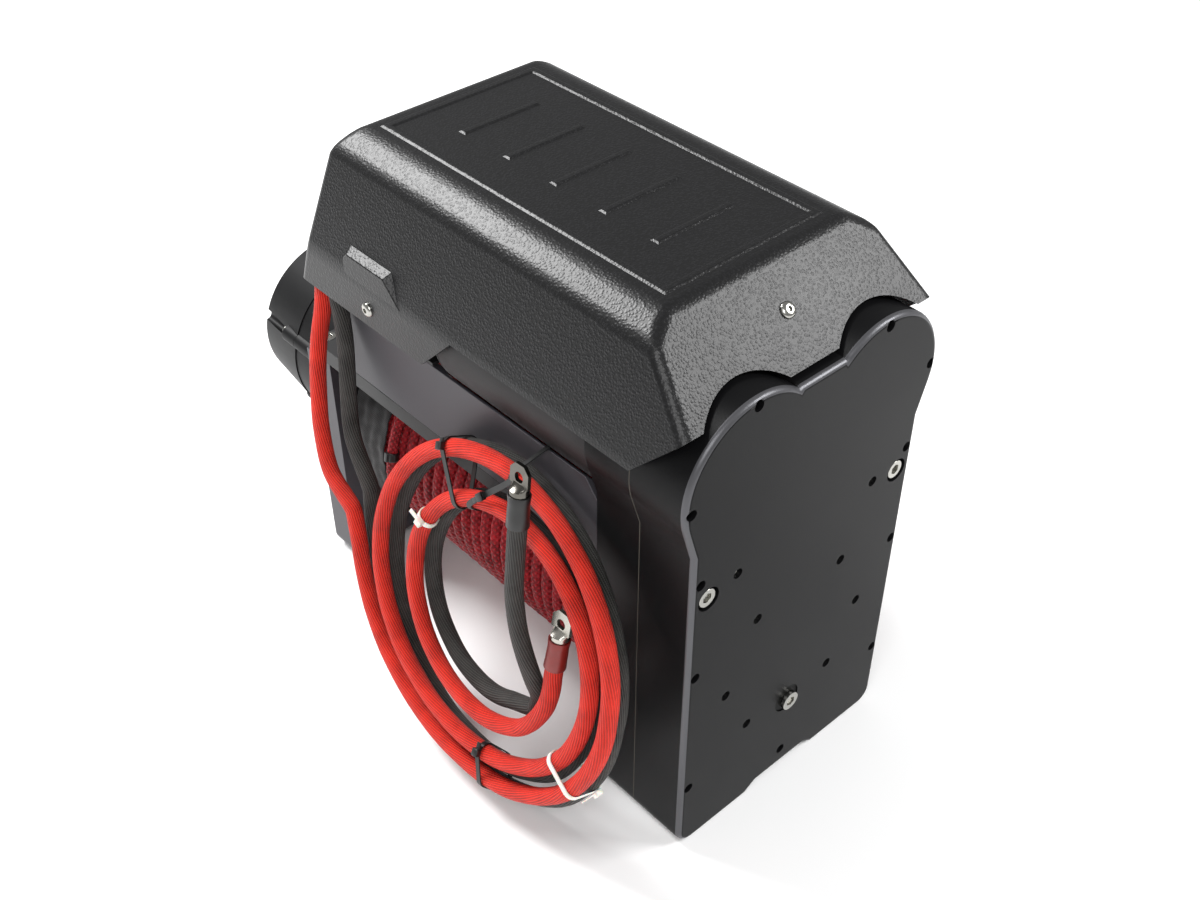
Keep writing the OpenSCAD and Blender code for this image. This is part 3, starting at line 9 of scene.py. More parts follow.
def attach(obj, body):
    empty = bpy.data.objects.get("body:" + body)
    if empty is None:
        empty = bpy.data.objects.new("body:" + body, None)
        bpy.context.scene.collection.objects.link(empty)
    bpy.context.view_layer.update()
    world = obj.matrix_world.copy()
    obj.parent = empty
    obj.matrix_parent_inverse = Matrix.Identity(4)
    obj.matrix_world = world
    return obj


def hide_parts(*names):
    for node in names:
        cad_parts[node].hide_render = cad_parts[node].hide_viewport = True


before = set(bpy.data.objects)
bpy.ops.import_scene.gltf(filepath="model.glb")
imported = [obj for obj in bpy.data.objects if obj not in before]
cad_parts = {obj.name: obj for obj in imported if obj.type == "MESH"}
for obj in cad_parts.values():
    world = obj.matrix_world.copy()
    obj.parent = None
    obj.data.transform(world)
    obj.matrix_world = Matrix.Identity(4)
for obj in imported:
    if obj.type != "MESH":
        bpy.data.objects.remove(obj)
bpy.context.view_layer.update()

MM = 0.001

# Camera
CAMERA_PLACE = (0.6996, -0.6206, 0.9774)
CAMERA_AIM = (-0.5686, 0.5165, -0.6402)
CAMERA_LENS = 43.67
SENSOR_WIDTH = 36.0


def make_camera():
    """The camera stands where the photograph was taken from."""
    data = bpy.data.cameras.new("studio_camera")
    data.lens = CAMERA_LENS
    data.sensor_width = SENSOR_WIDTH
    data.clip_start = 0.02
    data.clip_end = 60
    camera = bpy.data.objects.new("studio_camera", data)
    camera.location = CAMERA_PLACE
    camera.rotation_mode = "QUATERNION"
    camera.rotation_quaternion = Vector(CAMERA_AIM).to_track_quat("-Z", "Y")
    bpy.context.scene.collection.objects.link(camera)
    bpy.context.scene.camera = camera


make_camera()

# Planes and axes of the winch, in millimetres, as the CAD has them
END_X = 236
CASE_X = 141
HALF_DEPTH = 116
DRUM_Z = 152
IDLER_Z = 281
MOTOR_Y = 63.6
MOTOR_R = 63.3
# The distance from the idler's axis to a motor's
PINION_REACH = 100
MOTOR_Z = IDLER_Z + math.sqrt(PINION_REACH ** 2 - MOTOR_Y ** 2)
COVER_TOP = MOTOR_Z + 107.8
FOLD_Z = COVER_TOP - 93
SKIRT_Z = COVER_TOP - 130
TIP_Z = COVER_TOP - 55.5
# The cover's right end slopes at 45 degrees, so X plus Z is the same all over it
RIGHT_TOP_INSET = 64
END_SUM = END_X - RIGHT_TOP_INSET + COVER_TOP
PLATE_TOP = 318
LEAD_D = 14.6


# Materials
def colour(hex_code):
    """An sRGB hex value as linear red, green, blue and alpha."""
    channels = [int(hex_code[i:i + 2], 16) / 255 for i in (1, 3, 5)]
    return [c / 12.92 if c <= 0.04045 else ((c + 0.055) / 1.055) ** 2.4 for c in channels] + [1.0]


def add(tree, kind, settings=None, links=None):
    """Adds one shader node, sets its inputs and properties, and links its inputs to outputs."""
    node = tree.nodes.new(kind)
    for key, value in (settings or {}).items():
        if isinstance(key, int) or key in node.inputs:
            node.inputs[key].default_value = value
        else:
            setattr(node, key, value)
    for key, (source, output) in (links or {}).items():
        tree.links.new(source.outputs[output], node.inputs[key])
    return node


def start_material(name, base, roughness, metallic=0.0, ior=None, specular=0.5, sheen=0.0):
    """A material whose shader has its own even values; patterns are linked on afterwards."""
    material = bpy.data.materials.new(name)
    material.use_nodes = True
    tree = material.node_tree
    shader = tree.nodes["Principled BSDF"]
    values = {"Base Color": colour(base), "Roughness": roughness, "Metallic": metallic,
        "Specular IOR Level": specular, "Sheen Weight": sheen}
    if ior:
        values["IOR"] = ior
    for key, value in values.items():
        shader.inputs[key].default_value = value
    return material, tree, shader, add(tree, "ShaderNodeTexCoord")


def noise(tree, source, scale, detail=2.0, roughness=0.5):
    """Cloudy noise. It and the next three helpers return a node and the output to link from."""
    settings = {"Scale": scale, "Detail": detail, "Roughness": roughness}
    return add(tree, "ShaderNodeTexNoise", settings, {"Vector": source}), "Fac"


def wave(tree, source, scale, direction):
    """Even bands, such as threads."""
    settings = {"Scale": scale, "bands_direction": direction}
    return add(tree, "ShaderNodeTexWave", settings, {"Vector": source}), "Fac"


def maths(tree, operation, *terms):
    """A sum whose terms are numbers or outputs."""
    numbers = {i: term for i, term in enumerate(terms) if not isinstance(term, tuple)}
    outputs = {i: term for i, term in enumerate(terms) if isinstance(term, tuple)}
    return add(tree, "ShaderNodeMath", {"operation": operation, **numbers}, outputs), "Value"


def spread(tree, factor, low, high, to_low=0.0, to_high=1.0):
    """A factor's range from low to high, spread over another range."""
    settings = {"From Min": low, "From Max": high, "To Min": to_low, "To Max": to_high}
    return add(tree, "ShaderNodeMapRange", settings, {"Value": factor}), "Result"


def bump(tree, shader, height, strength, distance):
    """Turns a height into the shader's normal; distance is in metres."""
    settings = {"Strength": strength, "Distance": distance}
    node = add(tree, "ShaderNodeBump", settings, {"Height": height})
    tree.links.new(node.outputs["Normal"], shader.inputs["Normal"])


def blend_colours(tree, shader, factor, low, high):
    """The base colour wanders between two hex values as the factor goes from 0 to 1."""
    settings = {"data_type": "RGBA", 6: colour(low), 7: colour(high)}
    mix = add(tree, "ShaderNodeMix", settings, {0: factor})
    tree.links.new(mix.outputs[2], shader.inputs["Base Color"])


def vary_roughness(tree, shader, factor, low, high):
    """The roughness wanders between two values as the factor goes from 0 to 1."""
    node, output = spread(tree, factor, 0.0, 1.0, low, high)
    tree.links.new(node.outputs[output], shader.inputs["Roughness"])


def make_leather_grain_abs():
    """Vacuum-formed ABS: a black sheet with a pressed leather grain, whose pebbles glint."""
    material, tree, shader, place = start_material(
        "vacuum_formed_abs_leather_grain", "#1e1e1f", 0.42, ior=1.54, specular=0.34)
    here = (place, "Object")
    # Pebbles of about 2 mm, near the smallest that the render shows
    warp, _ = noise(tree, here, 260.0)
    bent = add(tree, "ShaderNodeMix", {"data_type": "VECTOR", 0: 0.0008},
        {4: here, 5: (warp, "Color")})
    cells = add(tree, "ShaderNodeTexVoronoi",
        {"Scale": 500.0, "feature": "SMOOTH_F1", "Smoothness": 0.5}, {"Vector": (bent, 1)})
    pebble = spread(tree, (cells, "Distance"), 0.1, 0.6, 1.0, 0.0)
    bump(tree, shader, pebble, 0.55, 0.00026)
    vary_roughness(tree, shader, noise(tree, here, 9.0, 4.0), 0.34, 0.42)
    blend_colours(tree, shader, pebble, "#0b0b0c", "#141416")
    return material


def make_powder_coat(name, low, high, rough_low, rough_high, metallic=0.0, specular=0.5):
    """Powder coat on cast or cut alloy: an even fine orange peel with a soft sheen."""
    material, tree, shader, place = start_material(
        name, low, rough_low, metallic, None if metallic else 1.5, specular)
    # Peel of about 0.9 mm over broad, faint shade changes of about 60 mm
    peel = noise(tree, (place, "Object"), 1100.0, 3.0, 0.6)
    broad = noise(tree, (place, "Object"), 16.0, 5.0)
    bump(tree, shader, peel, 0.25, 0.00025)
    vary_roughness(tree, shader, broad, rough_low, rough_high)
    blend_colours(tree, shader, broad, low, high)
    return material


def paint_rim_highlight(material):
    """A painted highlight along a machined rim: a lighter grey, partly metallic, on the faces that
    the piece's own attribute marks.
    """
    tree = material.node_tree
    shader = tree.nodes["Principled BSDF"]
    paint = shader.inputs["Base Color"].links[0].from_socket
    highlight_mask = (add(tree, "ShaderNodeAttribute", {"attribute_name": "rim_painted_highlight"}), "Fac")
    # Painted highlight: the rim's faces turn a lighter grey
    mix = add(tree, "ShaderNodeMix", {"data_type": "RGBA", 7: colour("#5b5b5e")}, {0: highlight_mask})
    tree.links.new(paint, mix.inputs[6])
    tree.links.new(mix.outputs[2], shader.inputs["Base Color"])
    highlight_metallic, output = maths(tree, "MULTIPLY", highlight_mask, 0.6)
    tree.links.new(highlight_metallic.outputs[output], shader.inputs["Metallic"])


def make_machined_metal(name, low, high, roughness):
    """Cut or drawn metal: fine lines along X, broken up by small stains."""
    material, tree, shader, place = start_material(name, low, roughness, 1.0)
    along = add(tree, "ShaderNodeMapping", {"Scale": (1.0, 60.0, 60.0)},
        {"Vector": (place, "Object")})
    # Lines about 0.4 mm apart, drawn coarser than a tool leaves them so that they show
    lines = noise(tree, (along, "Vector"), 40.0, 4.0)
    stains = noise(tree, (place, "Object"), 120.0, 3.0)
    bump(tree, shader, lines, 0.05, 0.0001)
    vary_roughness(tree, shader, stains, roughness * 0.75, roughness * 1.35)
    blend_colours(tree, shader, stains, low, high)
    return material


# Threads round a lead and picks along it, to one unit of its map
THREADS_ROUND = 22
PICKS_ALONG = 46
# A wave's bands are 2 pi over 20 apart at scale one, so this scale gives one band to a unit
ONE_BAND = math.pi / 10


def make_sheath(name, deep, top, roughness):
    """Knitted polyester sleeving: threads in a slow twist along the lead, crossed by finer ones."""
    material, tree, shader, place = start_material(
        name, top, roughness, ior=1.5, specular=0.25, sheen=0.03)
    # The map is one unit round the lead, about 46 mm. Threads are 2.1 mm apart so that they show
    parts = add(tree, "ShaderNodeSeparateXYZ", {}, {0: (place, "UV")})
    slant = maths(tree, "MULTIPLY_ADD", (parts, "Y"), 0.16, (parts, "X"))
    turned = (add(tree, "ShaderNodeCombineXYZ", {}, {0: slant, 1: (parts, "Y")}), "Vector")
    threads = wave(tree, turned, THREADS_ROUND * ONE_BAND, "X")
    picks = wave(tree, turned, PICKS_ALONG * ONE_BAND, "Y")
    both = maths(tree, "MULTIPLY_ADD", picks, 0.3, threads)
    shade = maths(tree, "MULTIPLY_ADD", both, 0.6, noise(tree, (place, "Object"), 55.0, 5.0))
    # Painted shade: the colour darkens between the threads and picks; the noise adds random tone
    blend_colours(tree, shader, spread(tree, shade, 0.35, 1.1), deep, top)
    bump(tree, shader, both, 1.0, 0.0006)
    return material


def make_braid(name, deep, top, threads, depth, roughness):
    """Braided yarn: two crossing sets of threads, with painted shade that darkens the grooves
    between their pale crowns.
    """
    material, tree, shader, place = start_material(
        name, top, roughness, ior=1.5, specular=0.25, sheen=0.03)
    # The map is one unit round the cord, so a whole number of threads meets itself at the seam
    scale = 2 * threads * ONE_BAND
    back = add(tree, "ShaderNodeMapping", {"Scale": (1.0, -1.0, 1.0)}, {"Vector": (place, "UV")})
    crown = maths(tree, "MULTIPLY", wave(tree, (place, "UV"), scale, "DIAGONAL"),
        wave(tree, (back, "Vector"), scale, "DIAGONAL"))
    shade = maths(tree, "MULTIPLY_ADD", crown, 0.55, noise(tree, (place, "Object"), 90.0, 5.0))
    # Painted shade: the colour darkens in the grooves between the crowns; the noise adds random tone
    blend_colours(tree, shader, spread(tree, shade, 0.3, 0.95), deep, top)
    bump(tree, shader, crown, 0.8, depth)
    return material


def make_woven_cloth():
    """Plain-woven nylon webbing: warp and weft about 1.6 mm apart, drawn coarse enough to show."""
    material, tree, shader, place = start_material(
        "woven_nylon_black", "#1b1a1b", 0.85, ior=1.5, sheen=0.1)
    both = maths(tree, "MAXIMUM", *[wave(tree, (place, "UV"), 196.0, way) for way in "XY"])
    bump(tree, shader, both, 0.6, 0.0004)
    # Painted shade: the colour darkens in the gaps between warp and weft
    blend_colours(tree, shader, both, "#070707", "#181718")
    return material


def make_soft_plastic(name, low, high, roughness, through=0.0):
    """Moulded nylon, shrink sleeve or rubber: smooth, with faint flow marks."""
    material, tree, shader, place = start_material(name, low, roughness, ior=1.53)
    shader.inputs["Subsurface Weight"].default_value = through
    shader.inputs["Subsurface Scale"].default_value = 0.003
    flow = noise(tree, (place, "Object"), 220.0, 3.0)
    bump(tree, shader, flow, 0.2, 0.0003)
    vary_roughness(tree, shader, flow, roughness * 0.8, roughness * 1.25)
    blend_colours(tree, shader, flow, low, high)
    return material


LEATHER_GRAIN = make_leather_grain_abs()
HOUSING_PAINT = make_powder_coat(
    "powder_coat_black_on_alloy", "#0c0c0d", "#111112", 0.32, 0.4, specular=0.1)
# The housing's rim gets a painted highlight
paint_rim_highlight(HOUSING_PAINT)
PLATE_PAINT = make_powder_coat(
    "satin_grey_paint_on_plate", "#3e3c41", "#48464b", 0.36, 0.46, metallic=0.3)
BAR_PAINT = make_powder_coat(
    "dark_satin_paint_on_bar", "#242425", "#2b2b2c", 0.42, 0.52, metallic=0.2)
MOTOR_PAINT = make_powder_coat(
    "satin_paint_on_drawn_steel", "#181718", "#1f1e1f", 0.4, 0.5, specular=0.22)
GEARBOX_PAINT = make_powder_coat(
    "satin_paint_on_turned_alloy", "#101011", "#161617", 0.4, 0.5, specular=0.18)
DRUM_PAINT = make_powder_coat(
    "black_paint_on_drum_steel", "#1c1c1d", "#242425", 0.4, 0.55, metallic=0.2)
HUB_FINISH = make_powder_coat("blackened_steel_hub", "#050505", "#080808", 0.45, 0.6, specular=0.12)
ZINC = make_machined_metal("bright_zinc_plate", "#a09f9a", "#bdbcb6", 0.2)
STEEL = make_machined_metal("machined_steel", "#9c9da0", "#b4b5b8", 0.3)
BRASS = make_machined_metal("machined_brass", "#b98f4a", "#cfa861", 0.28)
TINNED = make_machined_metal("tinned_copper", "#a5a29b", "#c6c3ba", 0.24)
DARK_TINNED = make_machined_metal("dark_nickel_on_copper", "#55534f", "#77746e", 0.2)
RED_BRAID = make_sheath("knitted_polyester_sleeve_red", "#84120c", "#e4301f", 0.55)
BLACK_BRAID = make_sheath("knitted_polyester_sleeve_black", "#0e0e0d", "#454341", 0.6)
ROPE_YARN = make_braid("braided_synthetic_rope_red", "#52090f", "#b01c26", 6, 0.0014, 0.6)
CLOTH = make_woven_cloth()
SHRINK = make_soft_plastic("shrunk_polyolefin_black", "#131313", "#1c1c1c", 0.38)
RED_SHRINK = make_soft_plastic("shrunk_polyolefin_red", "#6e1814", "#8a231c", 0.38)
BLACK_NYLON = make_soft_plastic("moulded_nylon_black", "#0d0d0d", "#151515", 0.4)
CLEAR_NYLON = make_soft_plastic("moulded_nylon_natural", "#d6d3ca", "#e6e4dc", 0.35, 0.4)
RUBBER = make_soft_plastic("moulded_rubber_black", "#111111", "#191919", 0.6)
GASKET = make_soft_plastic("pressed_gasket_sheet", "#3c3932", "#4a463d", 0.8)
LINING = make_soft_plastic("sintered_friction_lining", "#6b5844", "#7d6850", 0.75)
FERRITE = make_soft_plastic("sintered_ferrite", "#333336", "#3d3d40", 0.55)


# Modelling helpers
def only(piece):
    """Makes a piece the one selected and active object."""
    bpy.ops.object.select_all(action="DESELECT")
    piece.select_set(True)
    bpy.context.view_layer.objects.active = piece


@contextmanager
def editing(piece, everything=False):
    """Edit mode on one piece, with all of it selected if asked."""
    only(piece)
    bpy.ops.object.mode_set(mode="EDIT")
    if everything:
        bpy.ops.mesh.select_all(action="SELECT")
    yield
    bpy.ops.object.mode_set(mode="OBJECT")


def select_in(piece, kind, test):
    """In edit mode, selects the faces or edges that pass a test."""
    bpy.ops.mesh.select_mode(type=kind)
    bpy.ops.mesh.select_all(action="DESELECT")
    mesh = bmesh.from_edit_mesh(piece.data)
    mesh.normal_update()
    for item in mesh.faces if kind == "FACE" else mesh.edges:
        if test(item):
            item.select_set(True)
    bmesh.update_edit_mesh(piece.data)


def heights(edge):
    """The heights of an edge's lower and upper end, in millimetres."""
    return sorted(vertex.co.z / MM for vertex in edge.verts)


def apply(piece, kind, **settings):
    """Adds a modifier with its settings, and applies it."""
    modifier = piece.modifiers.new(kind.lower(), kind)
    for key, value in settings.items():
        setattr(modifier, key, value)
    only(piece)
    bpy.ops.object.modifier_apply(modifier=modifier.name)


def settle(name):
    """Names the primitive just added, and moves its place and size into its mesh."""
    bpy.ops.object.transform_apply(location=True, rotation=True, scale=True)
    piece = bpy.context.active_object
    piece.name = name
    return piece


def block(name, low, high):
    """A box between two corners in millimetres, as the start of a shape."""
    bpy.ops.object.select_all(action="DESELECT")
    middle = [(a + b) / 2 * MM for a, b in zip(low, high)]
    size = [(b - a) * MM for a, b in zip(low, high)]
    bpy.ops.mesh.primitive_cube_add(size=1, location=middle, scale=size)
    return settle(name)


def rod(name, start, end, radius, sides=48):
    """A round bar between two points in millimetres, as the start of a shape."""
    bpy.ops.object.select_all(action="DESELECT")
    a, b = Vector(start) * MM, Vector(end) * MM
    turn = (b - a).to_track_quat("Z", "Y").to_euler()
    bpy.ops.mesh.primitive_cone_add(vertices=sides, radius1=radius * MM, radius2=radius * MM,
        depth=(b - a).length, location=(a + b) / 2, rotation=turn)
    return settle(name)


def add_piece(name, data):
    """A new object with a mesh, in the scene."""
    piece = bpy.data.objects.new(name, data)
    bpy.context.scene.collection.objects.link(piece)
    return piece


def piece_of(mesh, name):
    """A new piece from a bmesh, with its faces turned outwards; the bmesh is freed."""
    bmesh.ops.recalc_face_normals(mesh, faces=mesh.faces)
    data = bpy.data.meshes.new(name)
    mesh.to_mesh(data)
    mesh.free()
    return add_piece(name, data)


def loft(name, rings, closed=False):
    """A piece through rings of points in millimetres, with caps unless it closes on itself."""
    mesh = bmesh.new()
    rings = [[mesh.verts.new(Vector(point) * MM) for point in ring] for ring in rings]
    following = rings[1:] + rings[:1] if closed else rings[1:]
    for one, two in zip(rings, following):
        for k in range(len(one)):
            n = (k + 1) % len(one)
            mesh.faces.new((one[k], one[n], two[n], two[k]))
    if not closed:
        mesh.faces.new(list(reversed(rings[0])))
        mesh.faces.new(rings[-1])
    return piece_of(mesh, name)


def stepped_rod(name, height, radius, sides, steps):
    """A round bar on Z. Each step has its rise, and its width's and depth's shares of the last's."""
    levels = [(0, radius, radius), (height, radius, radius)]
    for rise, width, thick in steps:
        z, wide, deep = levels[-1]
        levels.append((z + rise, wide * width, deep * thick))
    turns = [2 * math.pi * k / sides for k in range(sides)]
    return loft(name, [[(wide * math.cos(t), deep * math.sin(t), z) for t in turns]
        for z, wide, deep in levels])


def slice_off(piece, point, normal, keep=False):
    """Cuts a piece with a plane, and takes off what lies on the normal's side unless it is kept."""
    with editing(piece, everything=True):
        bpy.ops.mesh.bisect(plane_co=Vector(point) * MM, plane_no=normal, use_fill=not keep,
            clear_outer=not keep, clear_inner=False)


def sharp(edge, degrees=20):
    """Whether an edge lies between two faces that turn by more than an angle."""
    return len(edge.link_faces) == 2 and edge.calc_face_angle(0) > math.radians(degrees)


def round_edges(piece, width, segments, test=sharp, clamp=True):
    """Bevels the edges that pass a test; the width is in millimetres."""
    with editing(piece):
        select_in(piece, "EDGE", test)
        bpy.ops.mesh.bevel(offset=width * MM, offset_type="OFFSET", segments=segments,
            profile=0.5, clamp_overlap=clamp)


def combine(piece, operation, *others):
    """Unites a piece with others, or takes them away from it, by the Boolean modifier."""
    for other in others:
        apply(piece, "BOOLEAN", operation=operation, solver="EXACT",
            use_self=operation == "UNION", object=other)
        bpy.data.objects.remove(other, do_unlink=True)
    return piece


def soften(piece, width, segments=2, angle=32):
    """A Bevel modifier on every edge sharper than an angle, applied."""
    apply(piece, "BEVEL", width=width * MM, segments=segments, limit_method="ANGLE",
        angle_limit=math.radians(angle), use_clamp_overlap=True)


def flatten_shading(piece):
    """Large flat faces keep flat shading next to their rounded edges."""
    apply(piece, "WEIGHTED_NORMAL", weight=100, keep_sharp=True)


def turn_outwards(piece):
    """Merges a closed mesh's doubles and points its faces outwards."""
    with editing(piece, everything=True):
        bpy.ops.mesh.remove_doubles(threshold=1e-6)
        bpy.ops.mesh.normals_make_consistent(inside=False)


def smooth(piece, degrees=35):
    """Shades smoothly across edges that turn by less than an angle."""
    only(piece)
    bpy.ops.object.shade_smooth_by_angle(angle=math.radians(degrees))


def join(piece, other):
    """Joins another piece into the first."""
    only(piece)
    other.select_set(True)
    bpy.ops.object.join()


def copy_of(node, name):
    """A CAD node's mesh as a new piece, with its doubles merged and its flat faces made whole."""
    piece = add_piece(name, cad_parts[node].data.copy())
    with editing(piece, everything=True):
        bpy.ops.mesh.remove_doubles(threshold=2e-6)
        bpy.ops.mesh.dissolve_limited(angle_limit=math.radians(0.4))
    return piece


def finish_piece(piece, material, body, slot_name, *nodes):
    """Gives a piece its material and body, and hides the CAD nodes that it stands for. The slot name
    is not used.
    """
    piece.data.materials.clear()
    piece.data.materials.append(material)
    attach(piece, body)
    if nodes:
        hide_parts(*nodes)
    return piece


def soft_copy(node, name, width, material, slot_name, body="frame"):
    """A CAD node's copy with rounded edges, which stands for the node."""
    piece = copy_of(node, name)
    soften(piece, width)
    smooth(piece)
    flatten_shading(piece)
    return finish_piece(piece, material, body, slot_name, node)


def dress(node, material):
    """A CAD node that keeps its shape gets its own material."""
    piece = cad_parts[node]
    piece.data.materials.clear()
    piece.data.materials.append(material)


# The two leads
LEAN = 0.213
LEAN_TOP_Z = 290
BLACK_TOP_Y = -127
RED_TOP_Y = BLACK_TOP_Y - 16.4
STRETCH = math.sqrt(1 + LEAN * LEAN)
RED_CENTRE = (72, 170)
BLACK_CENTRE = (68, 150)
COIL_RADIUS = 138
# Turn number against the strand's share of the coil's radius, as in the CAD
RED_STRAND = [
    (0.03, 1.20), (0.125, 1.12), (0.25, 1.04), (0.4, 1.05), (0.5, 0.99), (0.75, 1.00), (0.9, 0.96),
    (1.0, 0.98), (1.125, 0.96), (1.25, 0.88), (1.4, 0.87), (1.5, 0.86), (1.65, 0.81), (1.8, 0.70),
    (2.0, 0.63), (2.25, 0.64), (2.36, 0.65), (2.5, 0.56)]
BLACK_STRAND = [
    (0.0, 1.19), (0.125, 1.09), (0.25, 1.01), (0.375, 1.05), (0.5, 0.97), (0.625, 1.03),
    (0.75, 1.10), (0.85, 1.04), (1.0, 0.92), (1.125, 0.91), (1.25, 0.87), (1.375, 0.90),
    (1.5, 0.81), (1.75, 0.84), (2.0, 0.56), (2.125, 0.47), (2.25, 0.44), (2.33, 0.44)]
RED_ROUTE = [
    (-165, -71, 374), (-165, -84, 374), (-167, -104, 370), (-173, -118, 359), (-178, -123.7, 346),
    (-178, -123.7, 333), (-175, -129, 312), (-169, -141, 285), (-161, -151, 255), (-149, -161, 220),
    (-131, -168, 188)]
BLACK_ROUTE = [
    (-140, -71, 374), (-140, -84, 374), (-144, -104, 370), (-153, -118, 359),
    (-158.6, -123.7, 346), (-158.6, -123.7, 333), (-155, -124.5, 312), (-149, -128, 285),
    (-141, -136, 250), (-128, -145, 215)]
BLACK_TAIL = [
    (131, -166, 130), (131, -171, 152), (128, -176, 182), (124, -178, 212), (121, -177, 242),
    (119, -173, 268), (118, -170, 287)]
CAD_RINGS = 24


def table_value(turn, table):
    """The table's value at a turn, on straight lines between its rows."""
    if turn <= table[0][0]:
        return table[0][1]
    for (a, low), (b, high) in zip(table, table[1:]):
        if turn <= b:
            return low + (high - low) * (turn - a) / (b - a)
    return table[-1][1]


def coil_line(table, centre, top_y, rings):
    """The coil's centre line, by the CAD's formula, with any number of points to a turn."""
    width = 1 / 12
    first, last = table[0][0], table[-1][0]
    steps = round((last - first) * rings)
    points = []
    for i in range(steps + 1):
        turn = first + (last - first) * i / steps
        share = (table_value(turn - width, table) + 2 * table_value(turn, table)
            + table_value(turn + width, table)) / 4
        angle = math.radians(180 + 360 * turn)
        x = centre[0] + COIL_RADIUS * share * math.cos(angle)
        z = centre[1] + COIL_RADIUS * share * math.sin(angle) / STRETCH
        points.append(Vector((x, top_y - (LEAN_TOP_Z - z) * LEAN, z)))
    return points


def extended(line):
    """The line with a straight diameter of lead added at each end."""
    start, end = (line[0] - line[1]).normalized(), (line[-1] - line[-2]).normalized()
    return [line[0] + LEAD_D * start] + line + [line[-1] + LEAD_D * end]


def smooth_route(points, parts, before, after):
    """A Catmull-Rom curve through a route's points."""
    padded = [before] + points + [after]
    line = []
    for a, b, c, d in zip(padded, padded[1:], padded[2:], padded[3:]):
        for k in range(parts):
            t = k / parts
            line.append((2 * b + (c - a) * t + (2 * a - 5 * b + 4 * c - d) * t * t
                + (3 * b - a - 3 * c + d) * t ** 3) / 2)
    return line + [points[-1]]


def even_line(line, step):
    """The same line with its points an even step apart."""
    lengths = [0.0]
    for a, b in zip(line, line[1:]):
        lengths.append(lengths[-1] + (b - a).length)
    count = max(2, round(lengths[-1] / step))
    even, place = [], 0
    for i in range(count + 1):
        goal = lengths[-1] * i / count
        while place < len(line) - 2 and lengths[place + 1] < goal:
            place += 1
        span = lengths[place + 1] - lengths[place]
        even.append(line[place].lerp(line[place + 1], (goal - lengths[place]) / span if span else 0))
    return even


def line_length(line):
    """The length of a line through points."""
    return sum((b - a).length for a, b in zip(line, line[1:]))


def tube(name, line, sides, radius_at, start_side):
    """A closed tube along a line in millimetres; its map is one unit round, and to scale along."""
    reference = Vector(start_side)
    mesh = bmesh.new()
    uv = mesh.loops.layers.uv.new("along")
    rings, lengths, travelled = [], [], 0.0
    round_length = 2 * math.pi * radius_at(0.0, 0.0)
    for i, point in enumerate(line):
        way = (line[min(i + 1, len(line) - 1)] - line[max(i - 1, 0)]).normalized()
        reference = (reference - way * reference.dot(way)).normalized()
        other = way.cross(reference)
        if i:
            travelled += (point - line[i - 1]).length
        lengths.append(travelled / round_length)
        ring = []
        for k in range(sides):
            angle = 2 * math.pi * k / sides
            reach = radius_at(travelled, angle)
            out = reference * math.cos(angle) + other * math.sin(angle)
            ring.append(mesh.verts.new((point + out * reach) * MM))
        rings.append(ring)
    for i, (ring, following) in enumerate(zip(rings, rings[1:])):
        for k in range(sides):
            n = (k + 1) % sides
            face = mesh.faces.new((ring[k], ring[n], following[n], following[k]))
            marks = [(k / sides, lengths[i]), ((k + 1) / sides, lengths[i]),
                ((k + 1) / sides, lengths[i + 1]), (k / sides, lengths[i + 1])]
            for loop, mark in zip(face.loops, marks):
                loop[uv].uv = mark
            face.smooth = True
    mesh.faces.new(list(reversed(rings[0])))
    mesh.faces.new(rings[-1])
    return piece_of(mesh, name)


# The sheath's loose folds and its small creases, as shares of the lead's radius
FOLD_DEPTH = 0.055
CREASE_DEPTH = 0.03


def lead_radius(seed):
    """The sheath is loose: it sags inwards between its ridges in long folds round the lead."""
    def reach(along, angle):
        fold = math.sin(2 * angle + along / 26 + seed) * (0.6 + 0.4 * math.sin(along / 41 + seed))
        crease = math.sin(3 * angle - along / 15) * math.sin(along / 12 + 1.7 * seed)
        folded = 1 - FOLD_DEPTH * (0.5 - 0.5 * fold)
        return LEAD_D / 2 * (folded - CREASE_DEPTH * (0.5 - 0.5 * crease))
    return reach


FINE_RINGS = 110
ROUTE_PARTS = 14
CORD_STEP = 3.0
CORD_SIDES = 20


def whole_lead(route, table, centre, top_y):
    """One line from the socket through the hanging stretch and round the coil, and where it ends."""
    points = [Vector(p) for p in route]
    cad_coil = extended(coil_line(table, centre, top_y, CAD_RINGS))
    fine = coil_line(table, centre, top_y, FINE_RINGS)
    start, end = cad_coil[0], cad_coil[-1]
    last = start + LEAD_D * (start - cad_coil[1]).normalized()
    hanging = smooth_route(points + [last], ROUTE_PARTS, 2 * points[0] - points[1], start)
    return hanging + [start] + fine + [end], cad_coil


red_line, red_cad_coil = whole_lead(RED_ROUTE, RED_STRAND, RED_CENTRE, RED_TOP_Y)
black_line, black_cad_coil = whole_lead(BLACK_ROUTE, BLACK_STRAND, BLACK_CENTRE, BLACK_TOP_Y)
RED_END = red_cad_coil[-1]
RED_WAY = (red_cad_coil[-1] - red_cad_coil[-2]).normalized()
tail_points = [Vector(p) for p in BLACK_TAIL]
coil_finish = black_cad_coil[-1]
tail_first = coil_finish + LEAD_D * (coil_finish - black_cad_coil[-2]).normalized()
BLACK_WAY = (tail_points[-1] - tail_points[-2]).normalized()
BLACK_END = tail_points[-1] + LEAD_D * BLACK_WAY
black_line += smooth_route([tail_first] + tail_points, ROUTE_PARTS, coil_finish, BLACK_END)
black_line.append(BLACK_END)

